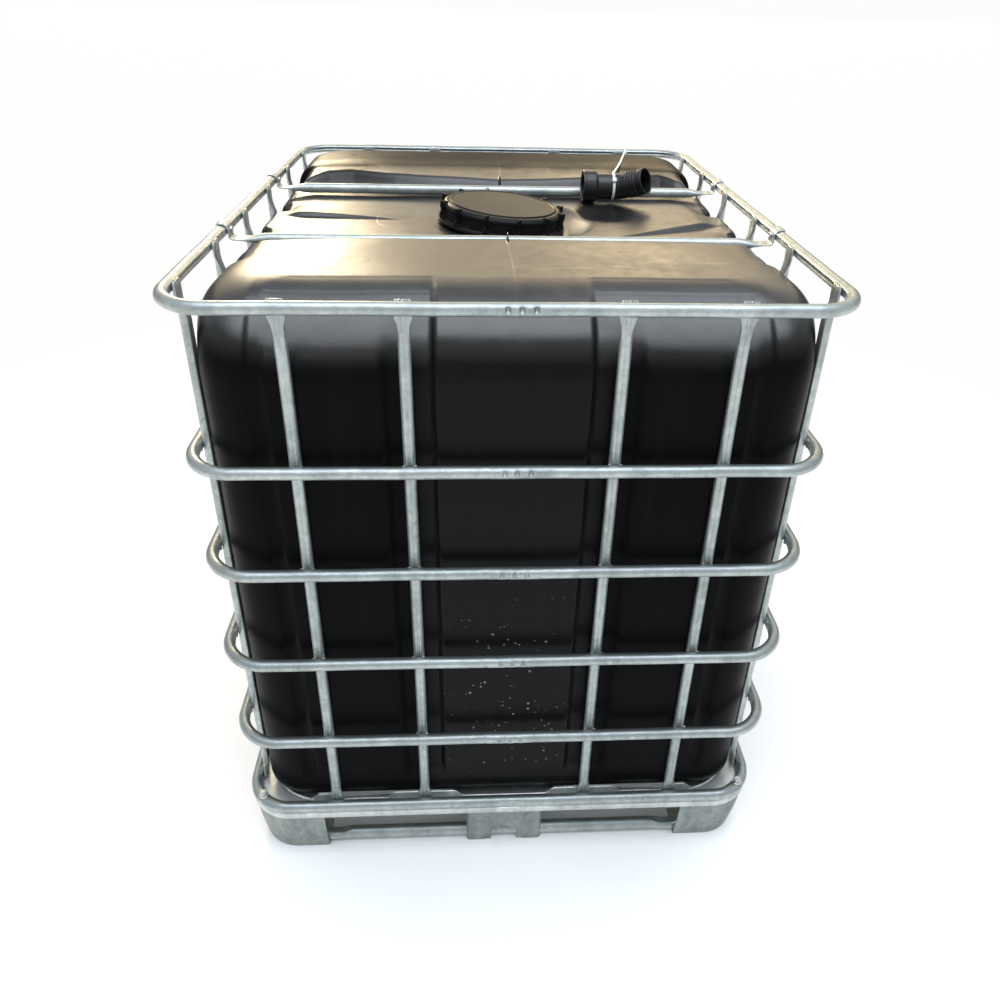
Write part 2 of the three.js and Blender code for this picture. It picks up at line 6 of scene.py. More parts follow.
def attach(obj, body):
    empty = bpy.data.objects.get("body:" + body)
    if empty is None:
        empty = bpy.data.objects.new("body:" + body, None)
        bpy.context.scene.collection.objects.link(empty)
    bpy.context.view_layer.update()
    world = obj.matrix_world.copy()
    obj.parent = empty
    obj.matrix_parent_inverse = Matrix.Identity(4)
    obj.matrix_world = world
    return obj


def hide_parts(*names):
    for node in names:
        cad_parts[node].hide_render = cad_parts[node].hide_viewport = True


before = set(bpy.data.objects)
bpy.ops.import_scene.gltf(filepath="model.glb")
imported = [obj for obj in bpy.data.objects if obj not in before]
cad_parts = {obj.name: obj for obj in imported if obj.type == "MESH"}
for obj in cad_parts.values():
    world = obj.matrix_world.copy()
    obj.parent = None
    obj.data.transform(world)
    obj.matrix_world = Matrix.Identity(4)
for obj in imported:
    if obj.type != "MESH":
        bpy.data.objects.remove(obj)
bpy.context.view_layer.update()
MM = 0.001
rng = np.random.default_rng(7)

# ------------------------------------------------------------------ helpers
def sstep(x, a, b):
    t = np.clip((np.asarray(x, float) - a) / (b - a), 0, 1)
    return t * t * (3 - 2 * t)

def smin(a, b, k):
    h = np.clip(0.5 + 0.5 * (b - a) / k, 0, 1)
    return b * (1 - h) + a * h - k * h * (1 - h)

def build(name, V, F, mat, body="container", slot=None, rep=(), angle=None):
    V = np.asarray(V, float) * MM
    quads = np.asarray(F, int)
    me = bpy.data.meshes.new(name)
    if quads.ndim == 2:
        me.vertices.add(len(V)); me.vertices.foreach_set("co", V.ravel())
        n, k = quads.shape
        me.loops.add(n * k); me.loops.foreach_set("vertex_index", quads.ravel())
        me.polygons.add(n); me.polygons.foreach_set("loop_start", np.arange(0, n * k, k))
        me.update(calc_edges=True)
    me.validate()
    me.shade_smooth()
    if angle is not None:
        me.set_sharp_from_angle(angle=math.radians(angle))
    return finish_piece(name, me, mat, body, rep)

def finish_piece(name, me, mat, body, rep):
    ob = bpy.data.objects.new(name, me)
    bpy.context.scene.collection.objects.link(ob)
    me.materials.append(mat)
    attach(ob, body)
    if rep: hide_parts(*rep)
    return ob

def from_lists(name, V, F, mat, body="container", rep=(), angle=30):
    me = bpy.data.meshes.new(name)
    me.from_pydata([tuple(np.asarray(v, float) * MM) for v in V], [], [tuple(int(i) for i in f) for f in F])
    me.validate(); me.update()
    import bmesh
    bm = bmesh.new(); bm.from_mesh(me)
    bmesh.ops.recalc_face_normals(bm, faces=bm.faces)
    bm.to_mesh(me); bm.free()
    me.shade_smooth()
    if angle is not None: me.set_sharp_from_angle(angle=math.radians(angle))
    return finish_piece(name, me, mat, body, rep)

def grid_faces(U, V, wrap_u, wrap_v, flip=False, base=0):
    iu = np.arange(U if wrap_u else U - 1); iv = np.arange(V if wrap_v else V - 1)
    a, b = np.meshgrid(iu, iv, indexing="ij"); a = a.ravel(); b = b.ravel()
    a1 = (a + 1) % U; b1 = (b + 1) % V
    q = np.stack([a * V + b, a1 * V + b, a1 * V + b1, a * V + b1], 1) + base
    return q[:, ::-1] if flip else q

def sweep(P, wrap_path=False, cap=True):
    """P: (path, section, 3) closed section. Caps are fans to a centre point. Returns V, quads (tris repeated as degenerate-free lists)."""
    U, S = P.shape[:2]
    V = P.reshape(-1, 3); F = [list(q) for q in grid_faces(U, S, wrap_path, True)]
    if not wrap_path and cap:
        V = list(V)
        for e, idx in ((0, 0), (1, U - 1)):
            c = len(V); V.append(P[idx].mean(0))
            for k in range(S):
                a, b = idx * S + k, idx * S + (k + 1) % S
                F.append([c, a, b] if e else [c, b, a])
    return V, F

def lathe(profile, n, M=None, closed=False, rfun=None):
    """profile [[r, z]...] about local Z. rfun(theta, r, z) may change r. M 4x4 places it."""
    pr = np.asarray(profile, float); th = np.linspace(0, 2 * np.pi, n, endpoint=False)
    R = np.repeat(pr[None, :, 0], n, 0); Z = np.repeat(pr[None, :, 1], n, 0); TH = np.repeat(th[:, None], len(pr), 1)
    if rfun is not None: R, Z = rfun(TH, R, Z)
    P = np.stack([R * np.cos(TH), R * np.sin(TH), Z], 2)
    V = P.reshape(-1, 3); F = [list(q) for q in grid_faces(n, len(pr), True, closed)]
    if M is not None:
        M = np.array(M, float); V = V @ M[:3, :3].T + M[:3, 3]
    return list(V), F

def dense(profile, step):
    """points along a polyline at most step apart, corners kept"""
    out = []
    pr = [np.asarray(p, float) for p in profile]
    for a, b in zip(pr[:-1], pr[1:]):
        k = max(1, int(math.ceil(np.linalg.norm(b - a) / step)))
        out += [a + (b - a) * i / k for i in range(k)]
    return np.array(out + [pr[-1]])

def fillet(pts, radii, n=5, closed=False):
    """round the corners of a 2D polyline"""
    pts = [np.asarray(p, float) for p in pts]; out = []
    N = len(pts)
    for i, p in enumerate(pts):
        r = radii[i] if hasattr(radii, "__len__") else radii
        if (not closed and i in (0, N - 1)) or r <= 0: out.append(p); continue
        a, b = pts[i - 1], pts[(i + 1) % N]
        u = (a - p); v = (b - p); lu, lv = np.linalg.norm(u), np.linalg.norm(v); u /= lu; v /= lv
        ang = math.acos(np.clip(u @ v, -1, 1))
        if ang > math.pi - 0.02: out.append(p); continue
        d = min(r / math.tan(ang / 2), 0.48 * min(lu, lv)); rr = d * math.tan(ang / 2)
        c = p + (u + v) / np.linalg.norm(u + v) * rr / math.sin(ang / 2)
        s, e = p + u * d - c, p + v * d - c
        for k in range(n + 1):
            t = k / n; w = s * (1 - t) + e * t; out.append(c + w / np.linalg.norm(w) * rr)
    return np.array(out)

def rr_path(hx, hy, r, s):
    """rounded rectangle point and outward normal at arc length s from the front centre (0,-hy), going to +X"""
    a, b, q = hx - r, hy - r, r * math.pi / 2
    lens = [a, q, 2 * b, q, 2 * a, q, 2 * b, q, a]; L = sum(lens)
    s = np.mod(np.asarray(s, float), L); x = np.zeros_like(s); y = np.zeros_like(s); nx = np.zeros_like(s); ny = np.zeros_like(s)
    st = [(0, -hy, 1, 0), None, (hx, -b, 0, 1), None, (a, hy, -1, 0), None, (-hx, b, 0, -1), None, (-a, -hy, 1, 0)]
    cc = {1: (a, -b, -90), 3: (a, b, 0), 5: (-a, b, 90), 7: (-a, -b, 180)}
    pos = 0
    for i, l in enumerate(lens):
        m = (s >= pos) & (s <= pos + l + 1e-9); f = s - pos
        if i in cc:
            cx, cy, a0 = cc[i]; t = np.radians(a0) + f / r
            x = np.where(m, cx + r * np.cos(t), x); y = np.where(m, cy + r * np.sin(t), y)
            nx = np.where(m, np.cos(t), nx); ny = np.where(m, np.sin(t), ny)
        else:
            x0, y0, dx, dy = st[i]
            x = np.where(m, x0 + dx * f, x); y = np.where(m, y0 + dy * f, y)
            nx = np.where(m, dy, nx); ny = np.where(m, -dx, ny)
        pos += l
    return x, y, nx, ny, L

# ------------------------------------------------------------------ materials
class Mat:
    def __init__(self, name):
        self.m = bpy.data.materials.new(name); self.m.use_nodes = True
        self.nt = self.m.node_tree; self.nt.nodes.clear()
        self.out = self.nt.nodes.new("ShaderNodeOutputMaterial"); self.b = self.nt.nodes.new("ShaderNodeBsdfPrincipled")
        self.nt.links.new(self.b.outputs[0], self.out.inputs[0])
        self.co = self.nt.nodes.new("ShaderNodeTexCoord").outputs["Object"]
    def new(self, t, **kw):
        n = self.nt.nodes.new(t)
        for k, v in kw.items(): setattr(n, k, v)
        return n
    def link(self, a, b): self.nt.links.new(a, b)
    def val(self, sock, v):
        if isinstance(v, bpy.types.NodeSocket): self.link(v, sock)
        else: sock.default_value = v
    def math(self, op, a, b=0.0, c=0.0, clamp=False):
        n = self.new("ShaderNodeMath", operation=op, use_clamp=clamp)
        for i, v in enumerate((a, b, c)): self.val(n.inputs[i], v)
        return n.outputs[0]
    def scale(self, v):
        n = self.new("ShaderNodeMapping"); self.link(self.co, n.inputs[0]); n.inputs["Scale"].default_value = v
        return n.outputs[0]
    def noise(self, scale, detail=4, rough=0.55, vec=None, dist=0.0):
        n = self.new("ShaderNodeTexNoise"); self.link(vec or self.co, n.inputs["Vector"])
        n.inputs["Scale"].default_value = scale; n.inputs["Detail"].default_value = detail
        n.inputs["Roughness"].default_value = rough; n.inputs["Distortion"].default_value = dist
        return n.outputs["Fac"]
    def voro(self, scale, feature="F1", out="Color", vec=None, rand=1.0):
        n = self.new("ShaderNodeTexVoronoi", feature=feature); self.link(vec or self.co, n.inputs["Vector"])
        n.inputs["Scale"].default_value = scale
        if "Randomness" in n.inputs: n.inputs["Randomness"].default_value = rand
        return n.outputs[out]
    def ramp(self, fac, stops, interp="LINEAR"):
        n = self.new("ShaderNodeValToRGB"); self.link(fac, n.inputs[0]); e = n.color_ramp; e.interpolation = interp
        e.elements[0].position, e.elements[0].color = stops[0][0], col(stops[0][1])
        e.elements[1].position, e.elements[1].color = stops[-1][0], col(stops[-1][1])
        for p, c in stops[1:-1]:
            k = e.elements.new(p); k.color = col(c)
        return n.outputs[0]
    def mix(self, fac, a, b, mode="MIX"):
        n = self.new("ShaderNodeMix", data_type="RGBA", blend_type=mode)
        self.val(n.inputs[0], fac)
        for s, v in ((n.inputs[6], a), (n.inputs[7], b)):
            if isinstance(v, bpy.types.NodeSocket): self.link(v, s)
            else: s.default_value = col(v)
        return n.outputs[2]
    def maprange(self, v, a, b, c, d):
        n = self.new("ShaderNodeMapRange"); self.link(v, n.inputs[0])
        for i, k in enumerate((a, b, c, d)): n.inputs[i + 1].default_value = k
        return n.outputs[0]
    def bump(self, h, dist, strength=1.0, prev=None):
        n = self.new("ShaderNodeBump"); self.link(h, n.inputs["Height"])
        n.inputs["Distance"].default_value = dist; n.inputs["Strength"].default_value = strength
        if prev is not None: self.link(prev, n.inputs["Normal"])
        return n.outputs[0]
    def set(self, **kw):
        for k, v in kw.items():
            s = self.b.inputs[k.replace("_", " ")]
            if isinstance(v, bpy.types.NodeSocket): self.link(v, s)
            else: s.default_value = col(v) if hasattr(v, "__len__") and len(v) == 3 and s.type == "RGBA" else v
        return self.m
    def xyz(self):
        n = self.new("ShaderNodeSeparateXYZ"); self.link(self.co, n.inputs[0]); return n.outputs
    def normal_z(self):
        g = self.new("ShaderNodeNewGeometry"); n = self.new("ShaderNodeSeparateXYZ"); self.link(g.outputs["Normal"], n.inputs[0]); return n.outputs[2]

def col(c):
    if isinstance(c, (int, float)): c = (c, c, c)
    return (*c, 1.0) if len(c) == 3 else tuple(c)

def galvanised(name, lo, hi, rough, metal=0.9, streak=0.35, bump=1.0, spangle=150, painted_top_shade=0.0):
    M = Mat(name)
    sp = M.math("MULTIPLY", M.maprange(M.noise(spangle, 2), 0.3, 0.7, 0, 1), 1.0)
    vo = M.voro(spangle * 0.6)
    bw = M.new("ShaderNodeRGBToBW"); M.link(vo, bw.inputs[0])
    cloud = M.noise(7, 5, 0.6)
    st = M.noise(26, 4, 0.6, vec=M.scale((1, 1, 0.12)))
    f = M.math("ADD", M.math("MULTIPLY", bw.outputs[0], 0.30), M.math("MULTIPLY", sp, 0.16))
    f = M.math("ADD", f, M.math("MULTIPLY", M.maprange(cloud, 0.3, 0.72, 0, 1), 0.38))
    f = M.math("ADD", f, M.math("MULTIPLY", M.maprange(st, 0.35, 0.7, 0, 1), streak), clamp=True)
    c = M.mix(f, lo, hi)
    dirt = M.maprange(M.noise(38, 6, 0.7), 0.60, 0.76, 0, 0.45)
    c = M.mix(dirt, c, tuple(x * 0.62 for x in lo))
    # painted shade: faces turned upwards get a darker base colour, so the tube tops read less bright under the overhead
    # light
    if painted_top_shade: c = M.mix(M.maprange(M.normal_z(), 0.15, 0.85, 0, painted_top_shade), c, tuple(x * 0.8 for x in lo))
    r = M.math("ADD", M.math("MULTIPLY", f, -0.14), rough + 0.10)
    r = M.math("ADD", r, M.math("MULTIPLY", dirt, 0.25), clamp=True)
    b = M.bump(M.noise(900, 3, 0.6), 0.0002, 0.35 * bump)
    b = M.bump(M.noise(70, 4, 0.6), 0.0006, 0.55 * bump, b)
    b = M.bump(st, 0.0006, 0.3 * bump, b)
    return M.set(Base_Color=c, Metallic=metal, Roughness=r, Normal=b)

# the last argument sets the strength of the painted shade on upward faces
STEEL = galvanised("galvanised_tube", (0.25, 0.285, 0.285), (0.74, 0.79, 0.785), 0.34, 0.80, 0.35, 1.9, 150, 0.72)
ZINC = galvanised("zinc_sheet", (0.40, 0.43, 0.42), (0.92, 0.95, 0.93), 0.36, 0.78, 0.5, 1.6, 110)
FOOTZ = galvanised("zinc_foot", (0.13, 0.152, 0.145), (0.44, 0.475, 0.455), 0.40, 0.80, 0.6, 2.2, 110)
BOLT = galvanised("zinc_fastener", (0.42, 0.42, 0.42), (0.76, 0.76, 0.75), 0.30, 0.95, 0.1, 0.8, 300)

def rust_weld():
    M = Mat("weld_metal")
    f = M.maprange(M.noise(160, 5, 0.7), 0.46, 0.62, 0, 1)
    c = M.mix(f, (0.42, 0.44, 0.45), (0.20, 0.105, 0.05))
    return M.set(Base_Color=c, Metallic=M.maprange(f, 0, 1, 0.85, 0.1), Roughness=M.maprange(f, 0, 1, 0.42, 0.85), Normal=M.bump(M.noise(500, 4, 0.6), 0.0006, 0.8))
WELD = rust_weld()

def hdpe():
    M = Mat("black_hdpe")
    x, y, z = M.xyz()
    nz = M.normal_z()
    up = M.maprange(nz, 0.35, 0.95, 0, 1)
    grain = M.noise(1100, 3, 0.6)
    orange = M.noise(240, 3, 0.55)
    wav = M.noise(5.0, 3, 0.5)
    streak_v = M.noise(30, 5, 0.6, vec=M.scale((1.6, 1.6, 0.05)))
    flow = M.noise(22, 4, 0.6, vec=M.scale((0.35, 1.6, 1.0)), dist=0.6)
    dust = M.math("MULTIPLY", up, M.maprange(M.noise(9, 6, 0.62), 0.42, 0.72, 0.0, 1.0))
    base = M.mix(M.math("MULTIPLY", dust, 0.40), (0.0040, 0.0042, 0.0044), (0.030, 0.026, 0.020))
    base = M.mix(M.math("MULTIPLY", M.maprange(streak_v, 0.55, 0.75, 0, 1), 0.22), base, (0.013, 0.013, 0.013))
    # dried water specks low on the middle panel of the front
    spot = M.voro(150, "F1", "Distance")
    cellv = M.voro(150, "F1", "Color"); cell = M.new("ShaderNodeSeparateXYZ"); M.link(cellv, cell.inputs[0])
    size = M.maprange(cell.outputs[0], 0.80, 1.0, 0.0, 0.42)
    dot = M.math("MULTIPLY", M.math("LESS_THAN", spot, size), M.math("GREATER_THAN", cell.outputs[0], 0.80))
    win = M.math("MULTIPLY", M.maprange(M.math("ABSOLUTE", M.math("ADD", x, -0.005)), 0.06, 0.125, 1, 0), M.math("MULTIPLY", M.maprange(z, 0.17, 0.26, 0.25, 1), M.maprange(z, 0.42, 0.66, 1, 0)))
    win = M.math("MULTIPLY", win, M.math("LESS_THAN", y, -0.5))
    patch = M.maprange(M.noise(16, 3), 0.46, 0.56, 0, 1)
    dot = M.math("MULTIPLY", dot, M.math("MULTIPLY", win, patch))
    base = M.mix(M.math("MULTIPLY", dot, 0.75), base, (0.42, 0.42, 0.40))
    # light rubbed scratches on the top: an arc left of the lid and a short line right of it
    dx = M.math("ADD", x, 0.175); dy = M.math("ADD", y, 0.005)
    rad = M.math("SQRT", M.math("ADD", M.math("MULTIPLY", dx, dx), M.math("MULTIPLY", dy, dy)))
    arc = M.maprange(M.math("ABSOLUTE", M.math("ADD", rad, -0.072)), 0.0007, 0.0014, 1, 0)
    arc = M.math("MULTIPLY", arc, M.math("LESS_THAN", dx, -0.004))
    lx = M.math("ADD", x, -0.178); ly = M.math("ADD", y, -0.012)
    dist = M.math("ABSOLUTE", M.math("ADD", M.math("MULTIPLY", lx, 0.64), M.math("MULTIPLY", ly, 0.768)))
    along = M.math("ABSOLUTE", M.math("ADD", M.math("MULTIPLY", lx, 0.768), M.math("MULTIPLY", ly, -0.64)))
    line = M.math("MULTIPLY", M.maprange(dist, 0.0006, 0.0012, 1, 0), M.math("LESS_THAN", along, 0.03))
    scr = M.math("MULTIPLY", M.math("MAXIMUM", arc, line), M.math("GREATER_THAN", z, 1.05), clamp=True)
    fine = M.math("MULTIPLY", up, M.maprange(flow, 0.60, 0.66, 0, 1))
    base = M.mix(M.math("MULTIPLY", scr, 0.5), base, (0.20, 0.19, 0.17))
    r = M.math("ADD", 0.275, M.math("MULTIPLY", wav, 0.07))
    r = M.math("ADD", r, M.math("MULTIPLY", dust, 0.10))
    r = M.math("ADD", r, M.math("MULTIPLY", M.maprange(streak_v, 0.45, 0.75, 0, 1), 0.07))
    r = M.math("ADD", r, M.math("MULTIPLY", fine, -0.055))
    r = M.math("ADD", r, M.math("MULTIPLY", dot, 0.3), clamp=True)
    b = M.bump(grain, 0.00012, 0.22)
    b = M.bump(orange, 0.0007, 0.20, b)
    b = M.bump(M.noise(11, 3, 0.5), 0.004, 0.22, b)
    b = M.bump(M.math("ADD", scr, dot), 0.0003, 0.5, b)
    # duller skin on the rear pillow and at the top of the side panels of the front
    rear = M.maprange(y, 0.25, 0.33, 1.0, 0.05)
    side = M.math("MULTIPLY", M.maprange(z, 1.05, 1.10, 1, 0), M.maprange(M.math("ABSOLUTE", x), 0.12, 0.17, 0, 0.70))
    side = M.math("SUBTRACT", 1.0, M.math("MULTIPLY", side, M.maprange(y, -0.46, -0.50, 0, 1)))
    gloss = M.math("MULTIPLY", M.maprange(nz, 0.34, 0.72, 0.14, 0.74), M.math("MULTIPLY", rear, side))
    return M.set(Base_Color=base, Roughness=r, Normal=b, Metallic=0.0, Specular_IOR_Level=gloss)
HDPE = hdpe()

def moulded(name, base, alt, rough, grain=700, depth=0.0003, dustc=None, spec=0.5):
    M = Mat(name)
    n = M.noise(45, 4, 0.6)
    c = M.mix(M.maprange(n, 0.35, 0.7, 0, 1), base, alt)
    if dustc is not None:
        up = M.maprange(M.normal_z(), 0.5, 1.0, 0, 1)
        c = M.mix(M.math("MULTIPLY", up, M.maprange(M.noise(30, 6, 0.65), 0.35, 0.7, 0.25, 0.8)), c, dustc)
    r = M.math("ADD", rough - 0.05, M.math("MULTIPLY", n, 0.12))
    b = M.bump(M.noise(grain, 3, 0.6), depth, 0.35)
    b = M.bump(M.noise(60, 3, 0.5), 0.0008, 0.12, b)
    return M.set(Base_Color=c, Roughness=r, Normal=b, Specular_IOR_Level=spec)
LIDM = moulded("lid_plastic", (0.005, 0.005, 0.0055), (0.010, 0.010, 0.010), 0.36, 900, 0.0004, (0.020, 0.019, 0.018), 0.12)
SPOUTM = moulded("spout_plastic", (0.004, 0.004, 0.0045), (0.009, 0.009, 0.009), 0.33)
VALVEM = moulded("valve_plastic", (0.040, 0.040, 0.043), (0.075, 0.075, 0.078), 0.45)
REDM = moulded("red_plastic", (0.36, 0.020, 0.014), (0.44, 0.032, 0.020), 0.40)
NYLON = moulded("white_nylon", (0.74, 0.74, 0.70), (0.82, 0.82, 0.79), 0.42, 400, 0.0001)
RUBBER = moulded("seal_rubber", (0.010, 0.010, 0.010), (0.020, 0.020, 0.020), 0.75)

# ------------------------------------------------------------------ cage rings
RING_Z = [1146.5, 889, 698, 505, 315]
UPX = [-325, -155, 155, 325]
UPY = [-500, -300, -100, 100, 300, 500]

def ring_mesh(name, zc, h=20, bottom=False, seed=0):
    hx, hy, R = 490.0, 590.0, 76.0
    L = rr_path(hx, hy, R, np.array([0.0]))[4]
    s = []
    pos = 0.0
    def near(a, lo, hi): return lo <= a <= hi
    while pos < L:
        w = pos if pos < L / 2 else pos - L
        s.append(pos)
        st = 9.0
        if -46 < w < 56: st = 1.6
        elif abs(w) > 380 and False: st = 4
        a = hx - R
        q = R * math.pi / 2
        for c0 in (a, a + q + 2 * (hy - R), 3 * a + 2 * q + 2 * (hy - R), 3 * a + 3 * q + 4 * (hy - R)):
            if c0 - 12 < pos < c0 + q + 12: st = 4.0
        pos += st
    s = np.array(s)
    x, y, nx, ny, _ = rr_path(hx, hy, R, s)
    S = 44
    a = np.linspace(0, 2 * np.pi, S, endpoint=False)
    ro, rz = 10.0, h / 2
    o = ro * np.cos(a); z = rz * np.sin(a)
    # inner face rolled flat with a shallow channel
    flat = -9.6 + 1.7 * np.exp(-(z / 2.6) ** 2)
    inner = sstep(-np.cos(a), 0.72, 0.90)
    o = np.where(np.cos(a) < -0.6, np.maximum(o, -9.6) * 1.0, o)
    o = o * (1 - inner) + flat * inner
    O = np.repeat(o[None], len(s), 0); Z = np.repeat(z[None], len(s), 0)
    w = np.where(s < L / 2, s, s - L)[:, None]
    A = np.repeat(a[None], len(s), 0)
    g = np.random.default_rng(100 + seed)
    j = g.uniform(-3, 3, 4)
    outer = np.clip(np.cos(A), 0, 1)
    if not bottom:
        # sleeve over the joint, its two edges and three round crimps
        sl = sstep(w, -37, -35.5) * (1 - sstep(w, 44.5, 46))
        sc = 1 + 0.035 * sl - 0.13 * np.exp(-((w + 38.2) / 1.2) ** 2)
        O = np.where(O > -8, O * sc, O); Z = Z * (1 + 0.02 * sl)
        for k, c in enumerate((-13.5, 6.0, 26.0)):
            d = np.sqrt((w - c - j[k] * 0.3) ** 2 + (Z - 1.8) ** 2)
            O = O - (outer > 0) * (5.2 * (1 - sstep(d, 0.8, 6.0)) - 0.7 * np.exp(-((d - 6.6) / 1.3) ** 2) * outer)
    else:
        sc = 1 - 0.13 * np.exp(-((w + 38.2) / 1.2) ** 2)
        O = np.where(O > -8, O * sc, O)
        d = np.sqrt((np.maximum(np.abs(w - 10) - 17, 0)) ** 2 + (Z * 0.95) ** 2)
        O = O - (outer > 0) * 3.6 * (1 - sstep(d, 2.0, 8.5))
        d = np.sqrt((w - 12) ** 2 + Z ** 2)
        O = O + (outer > 0) * 1.6 * (1 - sstep(d, 2.6, 3.8))
        # corners pressed flat on top around the bolts
        for cx, cy in ((466.3, 566.3), (-466.3, 566.3), (-466.3, -566.3), (466.3, -566.3)):
            dd = np.sqrt((x - cx) ** 2 + (y - cy) ** 2)[:, None]
            k = 1 - sstep(dd, 16, 46)
            Z = np.where(Z > 0, Z * (1 - 0.30 * k), Z)
            O = O + 1.8 * k * np.sign(O) * (np.abs(np.cos(A)) > 0.3) * (O < 0)
    # slight tube flattening and hand-straightened waviness
    ph = g.uniform(0, 6.28, 3)
    wob = 0.35 * np.sin(s / 61 + ph[0]) + 0.25 * np.sin(s / 23 + ph[1])
    Z = Z + wob[:, None] * 0.7
    O = np.minimum(O, 10.0)
    P = np.stack([x[:, None] + nx[:, None] * O, y[:, None] + ny[:, None] * O, zc + Z], 2)
    V, F = sweep(P, wrap_path=True, cap=False)
    return from_lists(name + "_skin", V, F, STEEL, "container", (name,), angle=None)

for i, zc in enumerate(RING_Z):
    ring_mesh("ring_top" if i == 0 else "ring_%d" % (i + 1), zc, 20, False, i)
ring_mesh("ring_bottom", 136, 22, True, 9)

# ------------------------------------------------------------------ uprights
def upright_mesh(name, x, y, rz, seed):
    g = np.random.default_rng(seed)
    zb, zt = 125.8, 1155.2
    z = np.concatenate([np.linspace(zb, zb + 70, 30), np.linspace(zb + 76, zt - 80, 76), np.linspace(zt - 74, zt, 34)])
    # section half outline (x, d), d from the outer face inwards, free length and flattened end
    body = np.array([[0, 1.9], [1.0, 1.4], [2.0, 0.35], [3.0, 0.0], [4.3, 0.25], [5.6, 1.2], [7.0, 2.6], [8.3, 4.0], [9.0, 5.6], [9.0, 8.5], [9.0, 11.2], [8.3, 13.2], [6.6, 14.0], [3.0, 14.0], [0, 14.0]], float)
    end = np.array([[0, 0.5], [1.9, 0.9], [3.7, 3.0], [5.5, 0.8], [7.4, 0.2], [9.4, 2.6], [11.4, 0.8], [13.4, 1.9], [14.0, 2.8], [14.0, 3.6], [13.8, 4.6], [12.6, 5.5], [9.0, 5.8], [4.5, 5.8], [0, 5.8]], float)
    def full(h):
        m = h[1:-1][::-1].copy(); m[:, 0] *= -1
        return np.concatenate([h, m])
    B, E = full(body), full(end)
    et = np.maximum(sstep(z, zt - 62, zt - 22), 1 - sstep(z, zb + 18, zb + 54))[:, None]
    ew = np.maximum(sstep(z, zt - 44, zt - 18), 1 - sstep(z, zb + 14, zb + 40))[:, None]
    X = B[None, :, 0] * (1 - ew) + E[None, :, 0] * ew
    D = B[None, :, 1] * (1 - et) + E[None, :, 1] * et
    # rounded free tips
    tip = np.maximum(1 - sstep(zt - z, 0, 6), 1 - sstep(z - zb, 0, 5))[:, None]
    X = X * (1 - 0.22 * tip); D = 3.0 + (D - 3.0) * (1 - 0.30 * tip)
    # pinch where each middle ring crosses
    for zc in RING_Z[1:]:
        k = np.exp(-((z - zc) / 9.0) ** 2)[:, None]
        D = D + 0.5 * k * (D < 6)
        X = X * (1 + 0.05 * k)
    ph = g.uniform(0, 6.28, 2)
    X = X + (0.5 * np.sin(z / 170 + ph[0]) * sstep(z, zb + 20, zb + 120) * (1 - sstep(z, zt - 120, zt - 20)))[:, None]
    Z = np.repeat(z[:, None], X.shape[1], 1)
    c, s_ = math.cos(rz), math.sin(rz)
    lx, ly = X, D
    P = np.stack([x + c * lx - s_ * ly, y + s_ * lx + c * ly, Z], 2)
    V, F = sweep(P, False, True)
    return from_lists(name + "_skin", V, F, STEEL, "container", (name,), angle=None)

FY, FX = 579.9, 479.9
for i, x in enumerate(UPX):
    upright_mesh("upright_front_%d" % (i + 1), x, -FY, 0.0, 20 + i)
    upright_mesh("upright_back_%d" % (i + 1), x, FY, math.pi, 30 + i)
for i, y in enumerate(UPY):
    upright_mesh("upright_left_%d" % (i + 1), -FX, y, -math.pi / 2, 40 + i)
    upright_mesh("upright_right_%d" % (i + 1), FX, y, math.pi / 2, 50 + i)

# small irregular weld nuggets where uprights meet the middle rings
def blob(c, r, g, n=8):
    V, F = [], []
    th = np.linspace(0, np.pi, 7); ph = np.linspace(0, 2 * np.pi, n, endpoint=False)
    V.append(np.array(c) + [0, 0, r[2]])
    for t in th[1:-1]:
        for p in ph:
            k = 1 + g.uniform(-0.16, 0.16)
            V.append(np.array(c) + np.array([r[0] * math.sin(t) * math.cos(p), r[1] * math.sin(t) * math.sin(p), r[2] * math.cos(t)]) * k)
    V.append(np.array(c) - [0, 0, r[2]])
    for p in range(n): F.append([0, 1 + p, 1 + (p + 1) % n])
    for i in range(4):
        for p in range(n):
            a = 1 + i * n + p; b = 1 + i * n + (p + 1) % n
            F.append([a, a + n, b + n, b])
    last = len(V) - 1
    for p in range(n): F.append([last, 1 + 4 * n + (p + 1) % n, 1 + 4 * n + p])
    return V, F
WV, WF = [], []
g = np.random.default_rng(3)
def weld_at(px, py, pz, tang, nor):
    for sx in (-1, 1):
        for sz in (-1, 1):
            if g.uniform() < 0.25: continue
            c = np.array([px + tang[0] * sx * 8.6 + nor[0] * 1.2, py + tang[1] * sx * 8.6 + nor[1] * 1.2, pz + sz * (6.0 + g.uniform(-0.6, 0.6))])
            rad = 2.4 * (1 + g.uniform(-0.2, 0.25))
            v, f = blob(c, (rad * (1.2 if tang[0] else 0.8), rad * (0.8 if tang[0] else 1.2), rad * 0.8), g)
            o = len(WV); WV.extend(v); WF.extend([[i + o for i in q] for q in f])
for zc in RING_Z[1:]:
    for x in UPX:
        weld_at(x, -FY, zc, (1, 0), (0, -1)); weld_at(x, FY, zc, (1, 0), (0, 1))
    for y in UPY:
        weld_at(-FX, y, zc, (0, 1), (-1, 0)); weld_at(FX, y, zc, (0, 1), (1, 0))
from_lists("weld_nuggets", WV, WF, WELD, "container", (), angle=None)

